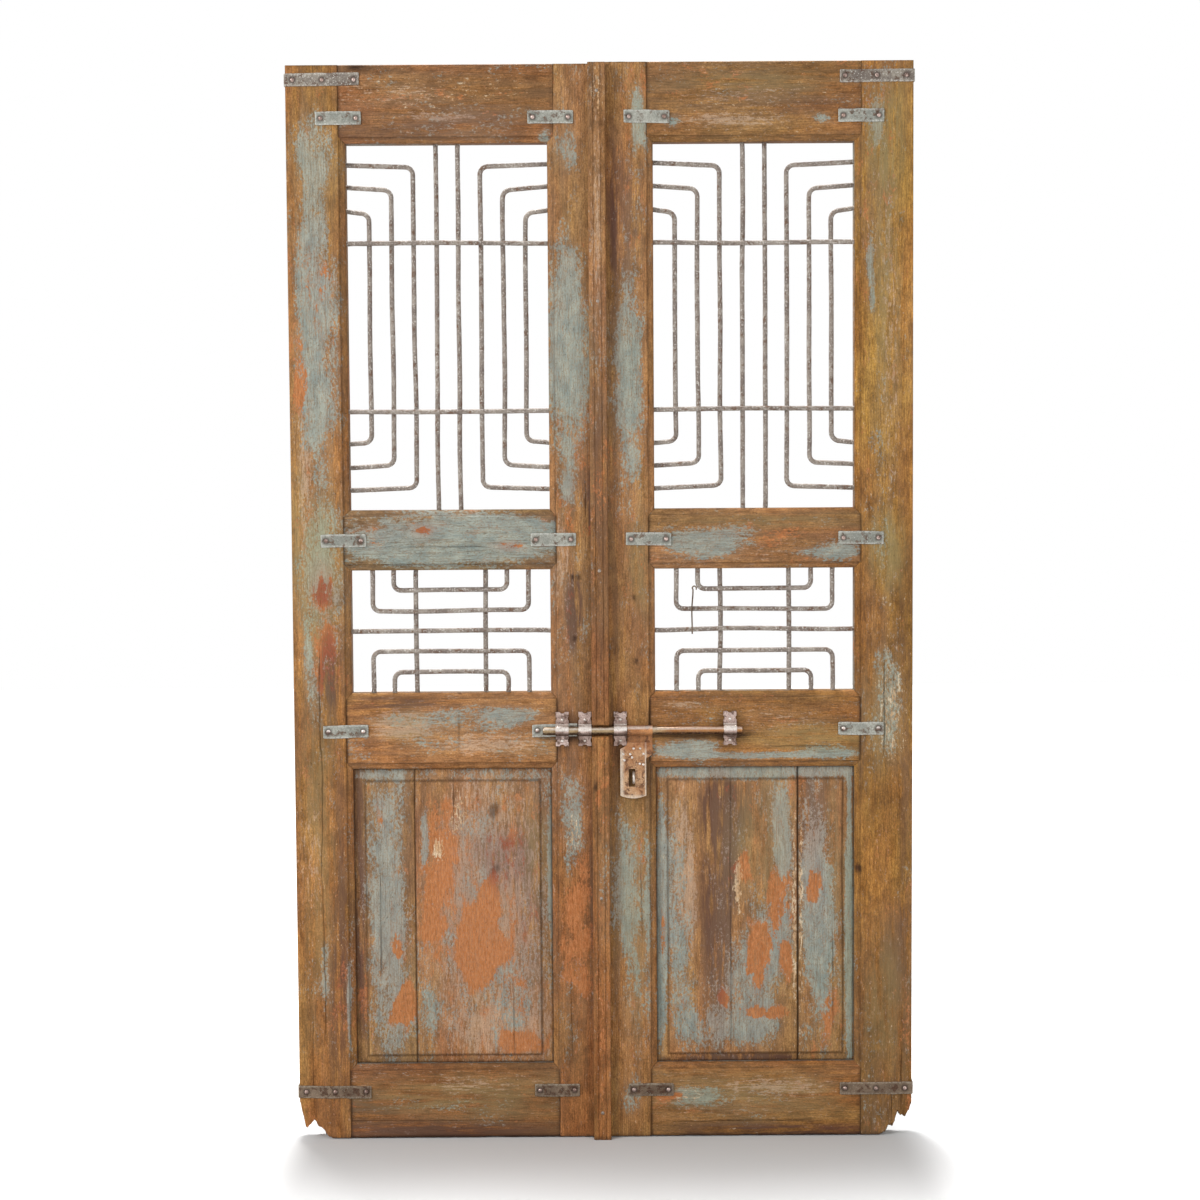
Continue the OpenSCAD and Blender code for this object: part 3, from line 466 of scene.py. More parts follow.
def build_panel_board(side, which, cracks, offset, seed):
    """A board of a fielded panel as two height fields over u and v, joined round the rim.
    d is the distance outside the raised field, measured square to its nearest border. The
    face stands FIELD_W high for d < 0, steps down FIELD_STEP, and slopes to nothing at
    FIELD_SLOPE."""
    node = f"{side}_panel_{which}_board"
    lo, hi = box_mm(node)
    z0, z1 = openings[0]
    x_lo, x_hi = opening_x(side)
    fx = (x_lo + FIELD_SIDE, x_hi - FIELD_SIDE)
    fz = (z0 + FIELD_BOTTOM, z1 - FIELD_TOP)
    steps = (-FIELD_SLOPE, FIELD_SLOPE, -0.5, 0.5)
    across = lines_between(lo[0], hi[0], 3.2, [x_lo, x_hi] + [f + e for f in fx for e in steps])
    across, owner, place = crack_columns(across, cracks, 0.4)
    along = lines_between(lo[2], hi[2], 5.0, [z0, z1] + [f + e for f in fz for e in steps])
    u = along[:, None] + 0 * across
    v = across[None] + 0 * along[:, None]
    out = np.maximum(np.maximum(fx[0] - v, v - fx[1]), np.maximum(fz[0] - u, u - fz[1]))
    slope = (FIELD_W - FIELD_STEP) * np.clip(1 - out / FIELD_SLOPE, 0, 1)
    w = PANEL_EDGE + np.where(out < 0, FIELD_W, slope)
    soft_edge = (np.abs(out) < 0.7) & (out < 0)
    w -= np.where(soft_edge, 0.5 + 0.4 * cloud(u, v, 30, 30, seed), 0)
    w += 0.35 * rough_cloud(u, v, 170, 19, seed + 2) * smooth(-np.abs(out), -40, 0)
    w += 0.3 * rough_cloud(u, v, 260, 60, seed + 5)
    dark = open_cracks(u, v, w, owner, place, cracks, 1e4)
    # Lips of the open joint are worn round
    lip = np.minimum(v - lo[0], hi[0] - v)
    w -= 0.8 * np.clip(1 - lip / 2.5, 0, 1) * (0.6 + 0.4 * cloud(u, 1, 24, 1, seed + 7))
    dark = np.maximum(dark, 0.7 * np.clip(1 - lip / 2.0, 0, 1))
    # Dirt and painted shade lie against the frame and along the step of the raised field
    frame_gap = np.minimum(np.minimum(v - x_lo, x_hi - v), np.minimum(u - z0, z1 - u))
    dark = np.maximum(dark, 0.95 * np.clip(1 - frame_gap / 4.5, 0, 1))
    dark = np.maximum(dark, np.where((out > -0.7) & (out < 1.6), 0.5, 0))
    back = 0 * w - PANEL_EDGE + 0.3 * rough_cloud(u, v, 200, 26, seed + 9)

    # The wide board's back reaches under the narrow one, so the open joint has a floor
    back_v, back_dark = v.copy(), 0.3 + 0 * v
    if which == "wide":
        joint, reach = (0, -3.0) if side == "left" else (-1, 3.0)
        back_v[:, joint] += reach
        back[:, joint] = 0.8 - PANEL_EDGE
        back_dark[:, joint] = 1.0

    rows, cols = u.shape
    uvw = np.stack([[u, v, w], [u, back_v, back]]).transpose(0, 2, 3, 1).reshape(-1, 3)
    front = np.arange(rows * cols).reshape(rows, cols)
    rear = front + rows * cols
    rim = np.concatenate([front[0], front[1:, -1], front[-1, -2::-1], front[-2:0:-1, 0]])
    faces = [grid_faces(front), grid_faces(rear)[:, ::-1],
             grid_faces(np.stack([rim, rim + rows * cols])[:, ::-1], wrap_cols=True)]
    points = np.stack([uvw[:, 1], -uvw[:, 2], uvw[:, 0]], 1)
    dirt_and_shade = np.stack([dark, back_dark])
    return add_wood(node, uvw, points, faces, offset, dirt_and_shade, front_from=1)


# Middle and radius of the cover strip's grooves, radius of its edges, half height of its
# notch
GROOVES, GROOVE_R, ROUND_R, NOTCH = (10.0, 24.5), 1.1, 2.5, 11.0


def build_cover_strip():
    """The cover strip. Its front is three reeds: the depth dips by a half circle of radius
    GROOVE_R at each groove and by a quarter round of radius ROUND_R at both edges. Behind
    the bolt it is notched to 3 mm from the face."""
    lo, hi = box_mm("cover_strip")
    width, height = hi[0] - lo[0], hi[2]
    stand = FACE_Y - lo[1]
    r = GROOVE_R
    base = [np.linspace(0.4, width - 0.4, 22), [0.4, 1.2, 2.4, width - 2.4, width - 1.2]]
    base += [[g - r - 0.5, g - r, g - 0.6 * r, g, g + 0.6 * r, g + r, g + r + 0.5]
             for g in GROOVES]
    base = np.unique(np.concatenate(base))
    notch_at = [lock_z + way * (NOTCH + more) for way in (-1, 1) for more in (0, 0.6)]
    u = lines_between(0, height, 5.0, notch_at)[:, None]
    one = np.ones_like(u)
    dip = sum(np.sqrt(np.clip(r * r - (base - g) ** 2, 0, None)) for g in GROOVES)
    edge = np.minimum(base, width - base)
    fall = ROUND_R - np.sqrt(np.clip(ROUND_R ** 2 - (ROUND_R - edge) ** 2, 0, None))
    top = stand - (dip + np.where(edge < ROUND_R, fall, 0))
    n, k = len(base), 5
    side = np.linspace(0.35, stand - 3.2, k)
    v = np.hstack([one * base, one * np.full(k, width), one * base[::-1], one * np.zeros(k)])
    w = np.hstack([one * top, one * side[::-1], one * np.full(n, 0.35), one * side])
    w[:, :n] += 0.35 * rough_cloud(u, v[:, :n], 130, 9, 301)
    bruise = smooth(cloud(u, 0, 23, 1, 305), 0.5, 0.95)
    v[:, :3] += 1.6 * bruise * np.array([1, 0.6, 0.2])
    v[:, n - 3:n] -= 1.4 * smooth(cloud(u, 5, 31, 1, 307), 0.5, 0.95) * np.array([0.2, 0.6, 1])
    v += 0.5 * cloud(u, 0, 500, 1, 309)
    inside = (np.abs(u - lock_z) < NOTCH + 0.1)
    w = np.where(inside, np.minimum(w, 3 + 0.2 * cloud(u, v, 9, 6, 311)), w)
    uvw, faces = closed_member(u, v, w, n, k)
    points = np.stack([lo[0] + uvw[:, 1], FACE_Y - uvw[:, 2], uvw[:, 0]], 1)
    # Darker along the grooves: dirt and painted shade
    near_groove = np.min(np.abs(uvw[:, 1:2] - np.array([GROOVES])), 1)
    dirt_and_shade = 0.2 * np.clip(1 - near_groove / 2.2, 0, 1) * (uvw[:, 2] > 10)
    return add_wood("cover_strip", uvw, points, faces, (3.3, 0.7, 0.2), dirt_and_shade)


# ------------------------------------------------------------------ iron

def tube(path, radius, sides):
    """A round bar: a circle of sides points carried along a path of points. Its plane is
    spanned by Y crossed with the tangent, and by the tangent crossed with that normal. Both
    ends are closed by a point on the path. Returns points and quads."""
    tangent = np.gradient(path, axis=0)
    tangent /= np.linalg.norm(tangent, axis=1)[:, None]
    normal = np.cross(np.array([0.0, 1, 0]), tangent)
    normal /= np.linalg.norm(normal, axis=1)[:, None]
    third = np.cross(tangent, normal)
    angle = np.linspace(0, 2 * math.pi, sides, endpoint=False)[None, :, None]
    radius = np.broadcast_to(radius, (len(path), sides))[..., None]
    ring = normal[:, None] * np.cos(angle) + third[:, None] * np.sin(angle)
    return shell(path[:, None] + ring * radius, np.vstack([path[0], path[-1]]))


def add_iron(name, parts):
    """A mesh of closed shells, from their (points, quads) pairs."""
    starts = np.cumsum([0] + [len(points) for points, _ in parts[:-1]])
    return add_mesh(name, np.vstack([points for points, _ in parts]),
                    [faces + start for (_, faces), start in zip(parts, starts)])


def run_along(path):
    """The distance along a path at each of its points."""
    return np.concatenate([[0], np.cumsum(np.linalg.norm(np.diff(path, axis=0), axis=1))])


def spaced(points, step):
    """The same path with points step apart along it."""
    length = run_along(points)
    s = np.linspace(0, length[-1], max(3, int(length[-1] / step)))
    return np.stack([np.interp(s, length, points[:, i]) for i in range(3)], 1)


def rounded(corners, radius):
    """A path through the corners with each inner corner swung round from radius before it
    to radius after it, on a cubic curve that is pulled to the corner to lie near a circle."""
    out = [corners[0]]
    t = np.linspace(0, 1, 9)[:, None]
    for a, b, c in zip(corners[:-2], corners[1:-1], corners[2:]):
        p = b + (a - b) / np.linalg.norm(a - b) * radius
        q = b + (c - b) / np.linalg.norm(c - b) * radius
        out += list((1 - t) ** 3 * p + 3 * t * (1 - t) ** 2 * (0.45 * p + 0.55 * b)
                    + 3 * t ** 2 * (1 - t) * (0.45 * q + 0.55 * b) + t ** 3 * q)
    out.append(corners[-1])
    return np.array(out)


ROD_SIDES = 12


def hammered_rod(corners, radius, bend, seed):
    """A hand-bent rod: a rounded path, pushed about by slow clouds of up to 1.3 mm in the
    door's plane and 0.6 mm across it, with a radius that varies by a few hundredths."""
    path = spaced(rounded(np.array(corners, float), bend), 5.0)
    s = np.arange(len(path)) * 5.0
    hold = smooth(s, 0, 30) * (1 - smooth(s, s[-1] - 30, s[-1]))
    path[:, 0] += 1.3 * hold * cloud(s, 0, 150, 1, seed)
    path[:, 2] += 1.3 * hold * cloud(s, 0, 170, 1, seed + 1)
    path[:, 1] += 0.6 * hold * cloud(s, 0, 120, 1, seed + 2)
    around = np.arange(ROD_SIDES)[None]
    thick = radius * (1 + 0.03 * cloud(s, 0, 60, 1, seed + 3)[:, None]
                      + 0.035 * cloud(s[:, None], around * 2.1, 9, 3, seed + 4))
    return tube(path, thick, ROD_SIDES)


def build_grille(side):
    """The rods of one leaf, as (piece, node) pairs. Uprights and the upper nested rods lie
    behind the cross rods. The legs of the nested rods splay: toward the stiles they rise at
    the top and fall at the bottom. Corners are (x, z) pairs on the right leaf, mirrored for
    the left one."""
    sign, rise = SIDES[side], RISES[side]
    lo, hi = box_mm(f"{side}_lower_cross_rod")
    rod = (hi[2] - lo[2]) / 2
    back_y, front_y = rod + 0.15, -rod - 0.15
    (low0, low1), (up0, up1) = openings[1], openings[2]
    middle_x, low_middle, up_middle = (open_in + open_out) / 2, (low0 + low1) / 2, (up0 + up1) / 2
    rods = {name: [] for name in ("upper_cross_rods", "upper_bent_rods", "upper_straight_rods",
                                  "lower_uprights", "lower_cross_rod", "lower_bent_rods")}
    seed = 400 + (200 if sign == RIGHT else 0)

    def add(group, y, corners, bend=14.0):
        nonlocal seed
        seed += 7
        path = [(sign * x, y, z) for x, z in corners[::sign]]
        rods[group].append(hammered_rod(path, rod, bend, seed))

    for z, lift in zip((up0 + CROSS_FROM_END, up1 - CROSS_FROM_END), rise["cross"]):
        add("upper_cross_rods", front_y, [(open_in - SEAT, z), (middle_x, z + lift),
                                          (open_out + SEAT, z + 0.4 * lift)], 60)
    for x in (open_in + 4 * BAY, open_out - 4 * BAY):
        add("upper_straight_rods", back_y,
            [(x, up0 - SEAT), (x + 1, up_middle), (x, up1 + SEAT)], 60)
    for k, up, down in zip((1, 2, 3), rise["top"], rise["bottom"]):
        reach = (4 - k) * LEG
        for edge, s in ((open_in, 1), (open_out, -1)):
            x = edge + s * k * BAY
            add("upper_bent_rods", back_y,
                [(edge - s * SEAT, up0 + reach - down), (x, up0 + reach), (x, up1 - reach),
                 (edge - s * SEAT, up1 - reach + up)])
    for x in (open_in + UPRIGHT_IN, open_out - UPRIGHT_IN):
        add("lower_uprights", back_y,
            [(x, low0 - SEAT), (x + 1, low_middle), (x, low1 + SEAT)], 40)
    add("lower_cross_rod", front_y, [(open_in - SEAT, low_middle), (middle_x, low_middle + 1.5),
                                     (open_out + SEAT, low_middle)], 60)
    for k in (1, 2):
        x0, x1, reach = open_in + k * LOWER_LEG, open_out - k * LOWER_LEG, (3 - k) * LOWER_BAY
        for edge, s in ((low1, -1), (low0, 1)):
            add("lower_bent_rods", front_y, [(x0, edge - s * SEAT), (x0, edge + s * reach),
                                             (x1, edge + s * reach), (x1, edge - s * SEAT)])
    return [(add_iron(f"{side}_{name}_iron", parts), f"{side}_{name}")
            for name, parts in rods.items()]


# Distance of the upper cross rods from the opening's ends and of the lower uprights from
# its sides; width of a bay beside an opening's edge and length of its rods' last leg, in
# the upper and the lower opening; and how deep the rods are seated in the wood
CROSS_FROM_END, UPRIGHT_IN = 192, 127
BAY, LEG, LOWER_BAY, LOWER_LEG = 43.2, 44.0, 40.0, 42.0
SEAT = 16.0
# How far each nested rod's leg rises at its stile, from the outermost bay inward, and how
# far the middle of each cross rod lifts
RISES = {"left": {"top": (7, 8, 6), "bottom": (4, 6, 5), "cross": (-2, 2)},
         "right": {"top": (8, 7, 7), "bottom": (6, 5, 6), "cross": (2, -1)}}


# Thickness of the strap irons, and radius of the long ones' bends
STRAP_THICK, STRAP_BEND = 2.5, 2.0


def bar_profile(width, thick, round_by):
    """A flat bar's section as (across, out) points, with its four corners cut off."""
    h, c = width / 2, round_by
    top = np.linspace(-h + c, h - c, 7)
    return np.array([(-h, c)] + [(-h, thick - c)] + [(a, thick) for a in top]
                    + [(h, thick - c), (h, c)] + [(a, 0) for a in top[::-1]])


def strap_bar(path, out_dirs, width, thick, seed):
    """A strap iron: the bar's section carried along a path on the wood. Its width varies by
    clouds of 0.5 mm and its face undulates by 0.25 mm; its ends draw in over 2.5 mm."""
    section = bar_profile(width, thick, 0.7)[None]
    s = run_along(path)[:, None]
    ends = np.minimum(s, s[-1] - s)
    draw = 1 - 0.07 * (1 - np.clip(ends / 2.5, 0, 1)) ** 2
    edge = 1 + 0.035 * cloud(s, np.sign(section[..., 0]), 21, 1, seed)
    across = section[..., 0] * draw * edge
    lift = section[..., 1] + np.where(section[..., 1] > thick / 2,
                                      0.28 * rough_cloud(s, across, 24, 11, seed + 2), 0)
    points = path[:, None] + across[..., None] * (0, 0, 1.0) + lift[..., None] * out_dirs[:, None]
    return shell(points, np.vstack([points[0].mean(0), points[-1].mean(0)]))


def add_strap(node, path, out_dirs, width, seed):
    """Makes a strap iron. Stores its dirt, which fades over 5 mm round each nail, and the
    share of its rubbed edges, which fades over the outer 3 mm of its width and ends. The
    rubbed edges are pale wear that also stands as a painted highlight along the rims."""
    piece = add_iron(node + "_iron", [strap_bar(path, out_dirs, width, STRAP_THICK, seed)])
    lo, hi = box_mm(node)
    points = mesh_points(piece)
    nails = np.vstack([mesh_points(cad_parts[f"{side}_strap_nails"]) for side in SIDES])
    nails = nails[np.all((nails > lo - 6) & (nails < hi + 6), 1)]
    far = np.array([np.min(np.linalg.norm(nails - p, axis=1)) for p in points])
    rim = np.min(np.hstack([points - lo, hi - points])[:, [0, 2, 3, 5]], 1)
    one = np.ones(len(points))
    paint_attribute(piece, "wear", np.stack([1 - smooth(far, 1, 5), 1 - smooth(rim, 0.4, 3),
                                             0 * one, one], 1))
    return piece


def build_short_strap(node, seed):
    lo, hi = box_mm(node)
    z = (lo[2] + hi[2]) / 2
    x = np.arange(lo[0], hi[0] + 0.1, 2.0)
    tilt = 1.2 * np.random.default_rng(seed).uniform(-1, 1)
    path = np.stack([x, np.full_like(x, FACE_Y), z + tilt * (x - x.mean()) / 44], 1)
    out = np.tile([0.0, -1.0, 0.0], (len(x), 1))
    return add_strap(node, path, out, hi[2] - lo[2], seed)


def build_corner_strap(node, side, seed):
    """A strap along the front, round the outer edge on two bends, and along the back. Each
    run gives x, y and the direction out of the wood, as on the right leaf."""
    sign = SIDES[side]
    lo, hi = box_mm(node)
    far = lo[0] if sign == RIGHT else -hi[0]
    r, a = STRAP_BEND, np.linspace(0, math.pi / 2, 6)
    runs = [(np.arange(far, leaf_out - r, 2.5), FACE_Y, 0, -1),
            (leaf_out - r + r * np.sin(a), FACE_Y + r - r * np.cos(a), np.sin(a), -np.cos(a)),
            (leaf_out, np.arange(FACE_Y + r + 2.5, -FACE_Y - r - 1, 2.5), 1, 0),
            (leaf_out - r + r * np.cos(a), -FACE_Y - r + r * np.sin(a), np.cos(a), np.sin(a)),
            (np.arange(leaf_out - r - 2.5, leaf_out - 90, -2.5), -FACE_Y, 0, 1)]
    x, y, out_x, out_y = np.hstack([np.stack(np.broadcast_arrays(*run)) for run in runs])
    tilt = 2.0 * np.random.default_rng(seed).uniform(-1, 1)
    z = (lo[2] + hi[2]) / 2 + tilt * (leaf_out - x) / 140
    path = np.stack([sign * x, y, z], 1)[::sign]
    out = np.stack([sign * out_x, out_y, 0 * x], 1)[::sign]
    return add_strap(node, path, out, hi[2] - lo[2] - 0.6, seed)


def build_bolt_rod():
    """The bolt: a circle turned about its axis, whose radius is worn by clouds along and
    round it, and drawn in over both ends."""
    lo, hi = box_mm("bolt_rod")
    r = (hi[2] - lo[2]) / 2
    axis = np.array([0, (lo[1] + hi[1]) / 2, (lo[2] + hi[2]) / 2])
    x = np.concatenate([lo[0] + np.array([0, 0.4, 1.2, 2.5]), np.arange(lo[0] + 5, hi[0] - 4, 2.5),
                        hi[0] - np.array([2.5, 1.2, 0.4, 0])])
    end = np.minimum(x - lo[0], hi[0] - x)
    draw = 1 - (2.4 / r) * (1 - np.sqrt(np.clip(1 - (1 - np.clip(end / 2.5, 0, 1)) ** 2, 0, 1)))
    sides = 40
    turn = np.arange(sides)[None]
    radius = r * draw[:, None] * (1 - 0.008 - 0.008 * rough_cloud(x[:, None], turn, 20, 8, 711)
                                  * (end > 3)[:, None])
    path = np.stack([x, 0 * x + axis[1], 0 * x + axis[2]], 1)
    return add_iron("bolt_rod_iron", [tube(path, radius, sides)])


# ------------------------------------------------------------------ weathering of the wood

# Bare wood of each member as display colours, at its top or left end and at its other end
BARE = {
    "left_outer_stile": ((170, 129, 84), (168, 122, 78)),
    "left_meeting_stile": ((174, 136, 102), (160, 112, 74)),
    "left_top_rail": ((149, 108, 79), (147, 106, 73)),
    "left_middle_rail": ((142, 118, 95), (142, 117, 90)),
    "left_lock_rail": ((178, 134, 92), (170, 130, 94)),
    "left_bottom_rail": ((146, 102, 68), (142, 100, 66)),
    "left_panel_wide_board": ((176, 134, 102), (174, 130, 96)),
    "left_panel_narrow_board": ((170, 134, 102), (164, 128, 96)),
    "right_outer_stile": ((190, 147, 84), (128, 92, 54)),
    "right_meeting_stile": ((170, 130, 95), (169, 128, 88)),
    "right_top_rail": ((152, 114, 79), (155, 116, 75)),
    "right_middle_rail": ((162, 124, 92), (162, 124, 84)),
    "right_lock_rail": ((166, 123, 80), (162, 119, 72)),
    "right_bottom_rail": ((156, 114, 78), (158, 113, 68)),
    "right_panel_wide_board": ((182, 142, 106), (172, 131, 96)),
    "right_panel_narrow_board": ((166, 128, 94), (162, 124, 88)),
    "cover_strip": ((158, 118, 88), (154, 106, 68)),
}

